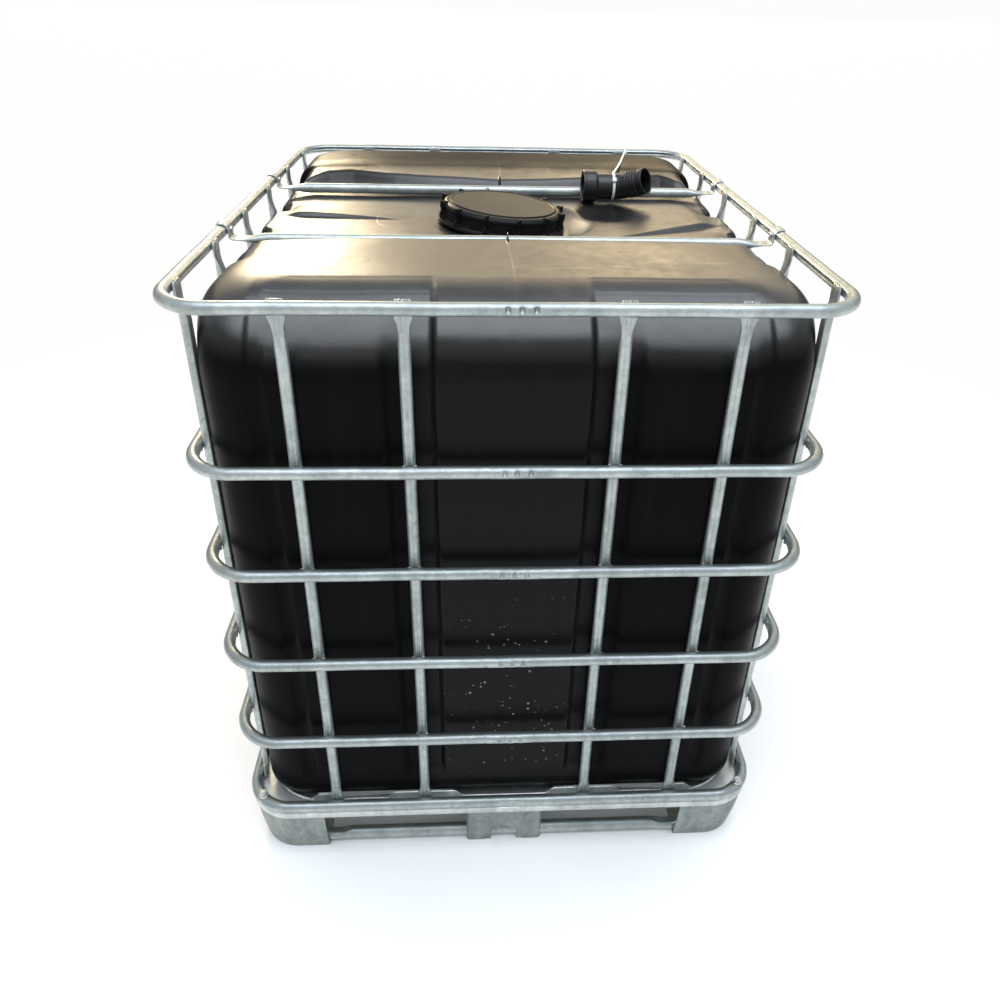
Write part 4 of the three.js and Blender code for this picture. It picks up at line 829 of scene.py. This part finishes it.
def corner_foot_mesh(name, sx, sy, seed):
    g = np.random.default_rng(seed)
    hx, hy, r, lx, ly = 488.0, 578.0, 76.0, 350.0, 445.0
    # outer line in the +X +Y quadrant, from the x leg to the y leg
    pts, nor = [], []
    for x in np.linspace(lx, hx - r, 16)[:-1]: pts.append((x, hy)); nor.append((0, 1))
    for a in np.linspace(90, 0, 26): t = math.radians(a); pts.append((hx - r + r * math.cos(t), hy - r + r * math.sin(t))); nor.append((math.cos(t), math.sin(t)))
    for y in np.linspace(hy - r, ly, 16)[1:]: pts.append((hx, y)); nor.append((1, 0))
    pts = np.array(pts, float); nor = np.array(nor, float); n = len(pts)
    ii = np.arange(n) / (n - 1)
    endw = np.minimum(ii, 1 - ii)
    zs = np.concatenate([[0, 0.8, 2.2], np.linspace(5, 104, 26), [108, 112, 115, 117.5, 119.2]])
    def off(z):
        flare = 1.2 * (1 - math.cos(min(max((z - 106) / 13.0, 0), 1) * math.pi / 2))
        foot = -1.2 * (1 - min(z / 3.0, 1))
        # pressed vertical flutes at the ends of the legs and a raised belt near the top
        rib = -2.4 * np.exp(-((endw - 0.17) / 0.035) ** 2) * (1 - sstep(z, 84, 98)) * sstep(z, 8, 18)
        belt = 1.1 * math.exp(-((z - 100) / 4.5) ** 2)
        return flare + foot + rib + belt * 1.0 + 0.0 * endw - 0.6
    V, F = shell_from_path(pts, nor, zs, off, 2.4)
    # top lip with the bolt seat and ground plate
    def strip(o0, o1, z0, z1, lo, hi):
        m = slice(lo, hi)
        a = pts[m] + nor[m] * o0; b = pts[m] + nor[m] * o1
        P = np.array([np.column_stack([a, np.full(len(a), z0)]), np.column_stack([b, np.full(len(b), z0)]), np.column_stack([b, np.full(len(b), z1)]), np.column_stack([a, np.full(len(a), z1)])]).transpose(1, 0, 2)
        return sweep(P, False, True)
    for args in ((-13.0, 0.6, 119.4, 122.2, 8, n - 8), (-58.0, -1.0, 0.1, 2.6, 0, n)):
        v, f = strip(*args); o = len(V); V += list(v); F += [[i + o for i in q] for q in f]
    # the wall opens outwards towards the tray
    def open_out(v):
        f = math.sin(min(max(v[2] / 122.0, 0), 1) * math.pi / 2)
        wx = min(max((v[0] - lx) / (hx - r - lx), 0), 1); wy = min(max((v[1] - ly) / (hy - r - ly), 0), 1)
        return np.array([(v[0] + 6.0 * wx * f) * sx, (v[1] + 15.5 * wy * f) * sy, v[2]])
    V = [open_out(v) for v in V]
    return from_lists(name + "_skin", V, F, FOOTZ, "container", (name,), angle=42)
for nme, sx, sy in (("back_right", 1, 1), ("back_left", -1, 1), ("front_left", -1, -1), ("front_right", 1, -1)):
    corner_foot_mesh("corner_foot_" + nme, sx, sy, 5)

def centre_foot_mesh(name, x, y, rz):
    # front plate outline with the arch, as a strip of quads from arch/bottom edge to top edge
    xs = np.unique(np.concatenate([np.linspace(-75, -26.5, 14), np.linspace(-26.5, 26.5, 41), np.linspace(26.5, 75, 14)]))
    low = np.where(np.abs(xs) < 26.5, 14 + np.sqrt(np.clip(26.5 ** 2 - xs ** 2, 0, None)), 0.0)
    low = np.where(np.abs(xs) >= 26.49, 0.3, low)
    rows = np.linspace(0, 1, 16)
    X = np.repeat(xs[None], len(rows), 0)
    Zt = 109.6
    Z = low[None] + (Zt - low[None]) * rows[:, None]
    dist = np.abs(np.hypot(X, np.maximum(Z - 14, 0)) - 33)
    dep = 1.4 * np.exp(-(dist / 4.0) ** 2) * (Z < 60) + 1.2 * (1 - sstep(np.abs(np.abs(X) - 58), 3, 9)) * sstep(Z, 12, 24) * (1 - sstep(Z, 84, 96))
    bendr = np.clip(np.abs(X) - 71, 0, 4)
    D = 0.6 + dep * 1.0 + bendr ** 2 * 0.35
    outer = np.stack([X, D, Z], 2); inner = np.stack([X, D + 2.4, Z], 2)
    U, N = X.shape
    V = list(np.concatenate([outer.reshape(-1, 3), inner.reshape(-1, 3)]))
    F = [list(q) for q in grid_faces(U, N, False, False, True)] + [list(q + U * N) for q in grid_faces(U, N, False, False, False)]
    edge = [i * N for i in range(U)] + [(U - 1) * N + j for j in range(1, N)] + [i * N + N - 1 for i in range(U - 2, -1, -1)] + [j for j in range(N - 2, 0, -1)]
    for a, b in zip(edge, edge[1:] + edge[:1]): F.append([a, b, U * N + b, U * N + a])
    def addbox(x0, x1, y0, y1, z0, z1, b=0.8):
        pl = fillet([[x0, y0], [x1, y0], [x1, y1], [x0, y1]], min(b * 1.5, 0.45 * min(x1 - x0, y1 - y0)), 3, True)
        P = plate_outline(pl, z0, z1, min(b, 0.45 * (z1 - z0)), 3)
        v, f = sweep(P, False, True); o = len(V); V.extend(list(v)); F.extend([[i + o for i in q] for q in f])
    for k in (-1, 1):
        a, b_ = sorted((k * 72.4, k * 74.8))
        addbox(a, b_, 3.4, 62, 30.4, 109.4); addbox(a, b_, 27.8, 62, 0.2, 30.8)
        a, b_ = sorted((k * 26.6, k * 74.6)); addbox(a, b_, 3.2, 61.8, 0.05, 2.8)
    addbox(-74.6, 74.6, 1.2, 61.8, 107.4, 109.8)
    c, s_ = math.cos(rz), math.sin(rz)
    V = [np.array([x + c * v[0] - s_ * v[1], y + s_ * v[0] + c * v[1], v[2]]) for v in V]
    return from_lists(name + "_skin", V, F, FOOTZ, "container", (name,), angle=42)
centre_foot_mesh("centre_foot_front", 0, -577, 0)
centre_foot_mesh("centre_foot_back", 0, 577, math.pi)
centre_foot_mesh("centre_foot_left", -477, 0, -math.pi / 2)
centre_foot_mesh("centre_foot_right", 477, 0, math.pi / 2)

def skid_mesh():
    hx, hy, R = 462.6, 562.6, 60.6
    L = rr_path(hx, hy, R, np.array([0.0]))[4]; n = int(L / 7); s = np.arange(n) * L / n
    x, y, nx, ny, _ = rr_path(hx, hy, R, s)
    A = np.linspace(0, 2 * np.pi, 28, endpoint=False)
    # pressed flatter where it runs into a corner foot
    u = np.where(np.abs(ny) > 0.7, np.abs(x) - 345, np.abs(y) - 445)
    k = (1 - sstep(np.abs(u + 6), 8, 34))[:, None]
    O = -1.2 + 12.0 * np.cos(A)[None] * (1 - 0.0 * k); Z = 13.2 * np.sin(A)[None] * (1 - 0.30 * k)
    P = np.stack([x[:, None] + nx[:, None] * O, y[:, None] + ny[:, None] * O, 16.0 + Z - 2.6 * k], 2)
    V, F = sweep(P, True, False)
    from_lists("skid_tube_skin", V, F, STEEL, "container", ("skid_tube",), angle=None)
    yy = np.linspace(-550, 550, 60)
    P = np.stack([np.broadcast_to(10.8 * np.cos(A)[None], (60, 28)), np.repeat(yy[:, None], 28, 1), np.broadcast_to(14.4 + 10.9 * np.sin(A)[None], (60, 28))], 2)
    V, F = sweep(P, False, True)
    from_lists("centre_runner_skin", V, F, STEEL, "container", ("centre_runner",), angle=None)
skid_mesh()

# ------------------------------------------------------------------ bolts and screws
def hexbolt(M, profile_hex, profile_round, nut=None, rot=0.0):
    V, F = [], []
    def hexlathe(prof, rot):
        def rf(TH, R, Z):
            a = np.mod(TH + rot, math.pi / 3) - math.pi / 6
            k = math.cos(math.pi / 6) / np.cos(a)
            return np.where(R > 0.5, np.minimum(R, R.max() * k * 1.0 + 0 * R), R), Z
        return lathe(prof, 72, M, False, rf)
    v, f = hexlathe(dense(profile_hex, 1.0), rot); V += v; F += f
    if nut is not None:
        v, f = hexlathe(dense(nut, 1.0), rot + 0.4); o = len(V); V += v; F += [[i + o for i in q] for q in f]
    v, f = lathe(dense(profile_round, 1.0), 48, M, False); o = len(V); V += v; F += [[i + o for i in q] for q in f]
    return V, F
for i, (nme, x, y) in enumerate((("back_right", 466.3, 566.3), ("back_left", -466.3, 566.3), ("front_left", -466.3, -566.3), ("front_right", 466.3, -566.3))):
    M = np.eye(4); M[0, 3], M[1, 3] = x, y
    V, F = hexbolt(M, [[0.4, 144.6], [7.3, 144.6], [7.4, 145.0], [7.4, 149.0], [6.2, 150.2], [0.4, 150.6]],
                   [[0.4, 111.2], [3.6, 111.2], [4.1, 111.8], [4.1, 143.2], [8.6, 143.2], [9.4, 143.5], [9.4, 144.4], [8.8, 144.8], [0.4, 144.8]],
                   [[0.4, 112.2], [6.0, 112.2], [6.9, 113.0], [6.9, 118.2], [6.2, 118.8], [0.4, 118.8]], 0.3 + i)
    from_lists("corner_bolt_%s_skin" % nme, V, F, BOLT, "container", ("corner_bolt_" + nme,), angle=32)
for nme, sx, sy in (("front_left", -1, -1), ("front_right", 1, -1), ("rear_left", -1, 1), ("rear_right", 1, 1)):
    # pan head with a cross slot, its axis along X
    M = np.array([[0, 0, sx, 0], [0, sx, 0, sy * 202], [-1 if sx > 0 else 1, 0, 0, 1146.5], [0, 0, 0, 1]], float)
    M = np.array([[0, 0, sx, 0], [0, 1, 0, sy * 202], [-sx, 0, 0, 1146.5], [0, 0, 0, 1]], float)
    def rf(TH, R, Z):
        cx, cy = R * np.cos(TH), R * np.sin(TH)
        slot = ((np.abs(cx) < 0.8) | (np.abs(cy) < 0.8)) & (R < 3.3) & (Z < 474.6)
        return R, Z + np.where(slot, 1.1, 0)
    V, F = lathe(dense([[0.3, 472.9], [3.0, 473.0], [4.6, 473.9], [5.1, 475.2], [5.1, 476.4], [2.4, 476.4], [2.4, 489.5], [0.3, 490]], 0.4), 96, M, False, rf)
    from_lists("crossbar_screw_%s_skin" % nme, V, F, BOLT, "container", ("crossbar_screw_" + nme,), angle=32)
M = np.array([[1, 0, 0, 0], [0, 1, 0, 518], [0, 0, 1, 200], [0, 0, 0, 1]], float)
def rf(TH, R, Z):
    cx, cy = R * np.cos(TH), R * np.sin(TH)
    slot = ((np.abs(cx) < 0.8) | (np.abs(cy) < 0.8)) & (R < 3.4) & (Z > 57.0)
    return R, Z - np.where(slot, 1.2, 0)
V, F = lathe(dense([[0.3, 42.2], [2.2, 42.2], [2.2, 55.3], [6.0, 55.3], [6.0, 57.2], [4.9, 58.5], [3.0, 59.0], [0.3, 59.0]], 0.4), 96, M, False, rf)
from_lists("handle_screw_skin", V, F, BOLT, "valve_rotor", ("handle_screw",), angle=32)

# ------------------------------------------------------------------ hose spout
def spout_mesh():
    x0, y0, z0, xb, ln = 178.0, 156.0, 1152.0, 260.0, 63.0
    d2 = np.array([0.767, -0.556, 0.32]); d2 /= np.linalg.norm(d2); d1 = np.array([1.0, 0, 0])
    ang = math.acos(d1 @ d2); Rb = 44.0; tl = Rb * math.tan(ang / 2)
    B = np.array([xb, y0, z0])
    perp = d2 - (d2 @ d1) * d1; perp /= np.linalg.norm(perp)
    c = B - d1 * tl + perp * Rb
    axis = np.cross(d1, d2); axis /= np.linalg.norm(axis)
    L1 = xb - tl - x0; L2 = Rb * ang; L3 = ln - tl
    def pos(s):
        if s <= L1: return np.array([x0 + s, y0, z0]), d1
        if s <= L1 + L2:
            a = (s - L1) / Rb; return c - perp * Rb * math.cos(a) + d1 * Rb * math.sin(a), d1 * math.cos(a) + perp * math.sin(a)
        q = s - L1 - L2; return B + d2 * (tl + q), d2
    Lt = L1 + L2 + L3
    # outer radius profile then inner radius profile, in arc length
    out = [(0, 31.2), (0.0, 33.0), (0.6, 33.5), (4.0, 33.5), (4.6, 32.9), (5.6, 32.9), (6.2, 33.5), (24.5, 33.5), (26.8, 33.0), (28.6, 31.0), (30.0, 28.2), (31.5, 27.2), (33, 27.0)]
    out += [(s, 27.0) for s in np.linspace(36, L1 + L2 + 4, 22)]
    s3 = L1 + L2 + 8
    pitch = 6.6
    k = 0
    while s3 + pitch < Lt - 9:
        out += [(s3, 26.6), (s3 + 0.7, 27.9), (s3 + 1.3, 28.5), (s3 + 2.5, 28.5), (s3 + 3.1, 27.9), (s3 + 3.9, 26.6), (s3 + 5.2, 26.4)]; s3 += pitch; k += 1
    out += [(Lt - 8.5, 26.8), (Lt - 7.5, 27.6), (Lt - 0.8, 27.4), (Lt, 26.8)]
    inn = [(Lt, 24.4), (Lt - 0.8, 23.8)] + [(s, 23.7) for s in np.linspace(Lt - 4, 28, 26)] + [(23.5, 23.9), (22.4, 25.4), (22.0, 29.8)]
    th = []
    s_ = 20.5
    while s_ > 5:
        th += [(s_, 30.5), (s_ - 1.0, 29.6), (s_ - 2.0, 29.6), (s_ - 3.0, 30.5)]; s_ -= 5.0
    inn += th + [(1.6, 30.6)]
    prof = out + inn
    n = 96; A = np.linspace(0, 2 * np.pi, n, endpoint=False)
    e2 = axis  # constant out-of-plane direction of the bend
    P = []
    for s, r in prof:
        p, t = pos(s); e1 = np.cross(t, e2); e1 /= np.linalg.norm(e1)
        rr = np.full(n, float(r))
        if 6.0 < s < 25 and r > 33: rr = rr + 0.35 * (np.mod(A, 2 * np.pi / 30) < np.pi / 30)
        P.append(p + np.outer(rr * np.cos(A), e1) + np.outer(rr * np.sin(A), e2))
    P = np.array(P)
    V = list(P.reshape(-1, 3)); U = len(prof)
    F = [list(q) for q in grid_faces(U, n, True, True)]
    return V, F
V, F = spout_mesh()
from_lists("elbow_spout_skin", V, F, SPOUTM, "spout", ("elbow_spout",), angle=34)

# ------------------------------------------------------------------ cable tie
def tie_mesh():
    y0, z0, tx, W = 156.0, 1152.0, 243.0, 4.8
    V, F = [], []
    def band(pts, nrm, side, t0, t1, closed):
        P = []
        for p, n_, s_ in zip(pts, nrm, side):
            P.append([p + n_ * t0 - s_ * W / 2, p + n_ * t0 + s_ * W / 2, p + n_ * (t0 + t1) / 2 + s_ * (W / 2 + 0.25), p + n_ * t1 + s_ * W / 2, p + n_ * t1 - s_ * W / 2, p + n_ * (t0 + t1) / 2 - s_ * (W / 2 + 0.25)])
        P = np.array(P)
        v, f = sweep(P, closed, not closed); o = len(V); V.extend(list(v)); F.extend([[i + o for i in q] for q in f])
    A = np.linspace(0, 2 * np.pi, 64, endpoint=False)
    band([np.array([tx, y0 + 27.35 * math.cos(a), z0 + 27.35 * math.sin(a)]) for a in A], [np.array([0, math.cos(a), math.sin(a)]) for a in A], [np.array([1.0, 0, 0])] * 64, 0, 1.15, True)
    A = np.linspace(0, 2 * np.pi, 48, endpoint=False)
    band([np.array([345, 590 + 10.15 * math.cos(a), 1146.5 + 10.15 * math.sin(a)]) for a in A], [np.array([0, math.cos(a), math.sin(a)]) for a in A], [np.array([1.0, 0, 0])] * 48, 0, 1.15, True)
    # strand from the head to the ring, sagging a little
    a0 = np.array([tx + 0.5, y0 + 1.0, z0 + 29.4]); b0 = np.array([345.0, 585.0, 1158.0])
    n = 60; ts = np.linspace(0, 1, n)
    pts = np.array([a0 * (1 - t) + b0 * t + np.array([0, 0, -9.0 * math.sin(math.pi * t) * (1 - 0.3 * t)]) for t in ts])
    d = np.gradient(pts, axis=0); d /= np.linalg.norm(d, axis=1)[:, None]
    tw = ts * 0.5
    sd, nr = [], []
    for i in range(n):
        s_ = np.cross(d[i], [0, 0, 1.0]); s_ /= np.linalg.norm(s_); n_ = np.cross(s_, d[i])
        c_, q_ = math.cos(tw[i]), math.sin(tw[i]); sd.append(s_ * c_ + n_ * q_); nr.append(n_ * c_ - s_ * q_)
    band(pts, nr, sd, -0.6, 0.6, False)
    # cut tail
    pts = np.array([a0 + np.array([-1.5, -16.0 * t, 2.5 * t - 7 * t * t]) + np.array([0, -3, -1]) for t in np.linspace(0, 1, 10)])
    d = np.gradient(pts, axis=0); d /= np.linalg.norm(d, axis=1)[:, None]
    sd = [np.array([1.0, 0, 0])] * 10; nr = [np.cross([1.0, 0, 0], q) for q in d]
    band(pts, nr, sd, -0.6, 0.6, False)
    # locking head
    hd = fillet([[-4.2, -4.6], [4.2, -4.6], [4.2, 4.6], [-4.2, 4.6]], 1.2, 3, True)
    P = plate_outline(hd, 27.6, 33.4, 1.0, 3)
    t = math.radians(52); c_, s_ = math.cos(t), math.sin(t)
    Q = P.copy(); Q[..., 0] = P[..., 0] + tx; Q[..., 1] = y0 + P[..., 1] * c_ - P[..., 2] * s_; Q[..., 2] = z0 + P[..., 1] * s_ + P[..., 2] * c_
    v, f = sweep(Q, False, True); o = len(V); V.extend(list(v)); F.extend([[i + o for i in q] for q in f])
    return V, F
V, F = tie_mesh()
from_lists("cable_tie_skin", V, F, NYLON, "spout", ("cable_tie",), angle=40)

# ------------------------------------------------------------------ CAD nodes that stay: seals and the disc
def keep(name, mat, bev=0.0):
    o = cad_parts[name]; o.data.materials.clear(); o.data.materials.append(mat)
for nme in ("lid_gasket", "outlet_seal", "outlet_cap_seal"): keep(nme, RUBBER)
keep("valve_disc", VALVEM)
for nme in ("lid_gasket", "outlet_seal", "outlet_cap_seal", "valve_disc"):
    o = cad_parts[nme]; o.data.shade_smooth(); o.data.set_sharp_from_angle(angle=math.radians(35))

# ------------------------------------------------------------------ floor, light, camera
bpy.context.scene.view_settings.view_transform = "Standard"
floor_m = Mat("studio_floor")
lp = floor_m.new("ShaderNodeLightPath")
pale = floor_m.mix(floor_m.maprange(floor_m.noise(3, 4), 0.3, 0.7, 0, 1), (0.94, 0.94, 0.94), (0.96, 0.96, 0.96))
fx_, fy_, _ = floor_m.xyz()
far = floor_m.math("SQRT", floor_m.math("ADD", floor_m.math("MULTIPLY", fx_, fx_), floor_m.math("MULTIPLY", fy_, fy_)))
far = floor_m.maprange(far, 1.0, 2.8, 0, 1)
pale = floor_m.mix(far, pale, (0.0, 0.0, 0.0))
glow = floor_m.math("MULTIPLY", far, lp.outputs["Is Camera Ray"])
fm = floor_m.set(Base_Color=floor_m.mix(lp.outputs["Is Camera Ray"], (0.70, 0.695, 0.68), pale), Roughness=0.95, Specular_IOR_Level=0.05, Emission_Color=(0.98, 0.98, 0.98), Emission_Strength=glow)
me = bpy.data.meshes.new("floor"); S = 60
me.from_pydata([(-S, -S, -0.0005), (S, -S, -0.0005), (S, S, -0.0005), (-S, S, -0.0005)], [], [(0, 1, 2, 3)]); me.materials.append(fm)
floor = bpy.data.objects.new("studio_floor", me); bpy.context.scene.collection.objects.link(floor)

def area(name, loc, target, sx, sy, power, color):
    L = bpy.data.lights.new(name, "AREA"); L.shape = "RECTANGLE"; L.size, L.size_y = sx, sy; L.energy = power; L.color = color
    o = bpy.data.objects.new(name, L); bpy.context.scene.collection.objects.link(o)
    o.location = loc; o.rotation_euler = (Vector(target) - Vector(loc)).to_track_quat("-Z", "Y").to_euler(); o.visible_camera = False
    return o
# a big warm softbox low behind on the left, and a cool one overhead
area("warm_softbox", (-1.78, 5.3, 3.05), (-0.2, -0.2, 1.1), 1.05, 0.8, 150, (1.0, 0.83, 0.56))
area("cool_overhead", (0.2, -1.1, 4.7), (0, -0.3, 0.6), 5.2, 3.4, 190, (0.92, 0.98, 1.06))

world = bpy.data.worlds.new("studio"); bpy.context.scene.world = world; world.use_nodes = True
wn = world.node_tree; wn.nodes.clear()
def wnew(t, **kw):
    n = wn.nodes.new(t)
    for k, v in kw.items(): setattr(n, k, v)
    return n
def wmath(op, a, b=0.0, clamp=False):
    n = wnew("ShaderNodeMath", operation=op, use_clamp=clamp)
    for i, v in enumerate((a, b)):
        if isinstance(v, bpy.types.NodeSocket): wn.links.new(v, n.inputs[i])
        else: n.inputs[i].default_value = v
    return n.outputs[0]
def wdot(v, d):
    n = wnew("ShaderNodeVectorMath", operation="DOT_PRODUCT"); wn.links.new(v, n.inputs[0]); d = Vector(d).normalized(); n.inputs[1].default_value = d
    return n.outputs["Value"]
def wadd(a, c, f):
    m = wnew("ShaderNodeMix", data_type="RGBA", blend_type="ADD"); m.inputs[0].default_value = 1.0
    wn.links.new(a, m.inputs[6])
    k = wnew("ShaderNodeVectorMath", operation="SCALE"); k.inputs[0].default_value = c; wn.links.new(f, k.inputs["Scale"]); wn.links.new(k.outputs[0], m.inputs[7])
    return m.outputs[2]
tc = wnew("ShaderNodeTexCoord"); nv = wnew("ShaderNodeVectorMath", operation="NORMALIZE"); wn.links.new(tc.outputs["Generated"], nv.inputs[0]); D = nv.outputs[0]
sp = wnew("ShaderNodeSeparateXYZ"); wn.links.new(D, sp.inputs[0]); dz = sp.outputs[2]
rp = wnew("ShaderNodeValToRGB"); wn.links.new(wmath("MULTIPLY", wmath("ADD", dz, 1.0), 0.5), rp.inputs[0])
e = rp.color_ramp.elements; e[0].position, e[0].color = 0.0, (0.30, 0.30, 0.30, 1); e[1].position, e[1].color = 1.0, (1.0, 1.0, 1.0, 1)
e[1].color = (0.72, 0.77, 0.82, 1)
for p_, c_ in ((0.495, (0.30, 0.30, 0.29, 1)), (0.52, (0.46, 0.47, 0.46, 1)), (0.66, (0.66, 0.70, 0.73, 1)), (0.80, (0.72, 0.77, 0.82, 1))):
    k_ = rp.color_ramp.elements.new(p_); k_.color = c_
sky = rp.outputs[0]
# the far horizon stays dark below about ten degrees
low = wmath("MULTIPLY", wmath("MULTIPLY", wmath("SUBTRACT", 0.33, dz), 7.0, True), wmath("MULTIPLY", wmath("SUBTRACT", wdot(D, (0, 1, 0)), 0.2), 3.0, True), True)
dk = wnew("ShaderNodeMix", data_type="RGBA"); wn.links.new(low, dk.inputs[0]); wn.links.new(sky, dk.inputs[6]); dk.inputs[7].default_value = (0.11, 0.115, 0.12, 1); sky = dk.outputs[2]
# warm band low on the far side, with a soft glow left of centre
band = wmath("MULTIPLY", wmath("POWER", wmath("MAXIMUM", wdot(D, (0, 1, 0)), 0.0), 3.0), wmath("SUBTRACT", 1.0, wmath("MULTIPLY", wmath("ABSOLUTE", wmath("SUBTRACT", dz, 0.46)), 4.4), True))
band = wmath("MAXIMUM", band, 0.0)
sky = wadd(sky, (3.6, 2.7, 1.42), band)
sky = wadd(sky, (4.6, 3.4, 1.9), wmath("POWER", wmath("MAXIMUM", wdot(D, (-0.25, 0.92, 0.33)), 0.0), 180.0))
sky = wadd(sky, (4.2, 3.2, 1.75), wmath("POWER", wmath("MAXIMUM", wdot(D, (0.21, 0.92, 0.35)), 0.0), 120.0))
bg = wnew("ShaderNodeBackground"); wn.links.new(sky, bg.inputs[0]); bg.inputs[1].default_value = 1.0
plain = wnew("ShaderNodeBackground"); plain.inputs[0].default_value = (0.98, 0.98, 0.98, 1)
lpw = wnew("ShaderNodeLightPath"); ms = wnew("ShaderNodeMixShader"); wn.links.new(lpw.outputs["Is Camera Ray"], ms.inputs[0]); wn.links.new(bg.outputs[0], ms.inputs[1]); wn.links.new(plain.outputs[0], ms.inputs[2])
wo = wnew("ShaderNodeOutputWorld"); wn.links.new(ms.outputs[0], wo.inputs[0])

cam_d = bpy.data.cameras.new("photo_camera"); cam = bpy.data.objects.new("photo_camera", cam_d); bpy.context.scene.collection.objects.link(cam)
MC = np.array([[0.998263, -0.05303202, 0.02566288], [-0.00331467, -0.48545738, -0.87425405], [0.0588217, 0.87265041, -0.48478993]])
right, down, fwd = MC
cm = Matrix(((right[0], -down[0], -fwd[0], -0.06229764), (right[1], -down[1], -fwd[1], -1.62245400), (right[2], -down[2], -fwd[2], 1.52959584), (0, 0, 0, 1)))
cam.matrix_world = cm
cam_d.sensor_width = 36; cam_d.sensor_fit = "HORIZONTAL"; cam_d.lens = 810.1136 * 36 / 1000
cam_d.shift_x = (500 - 519.316) / 1000; cam_d.shift_y = (433.2736 - 500) / 1000
cam_d.clip_start = 0.05; cam_d.clip_end = 200
bpy.context.scene.camera = cam
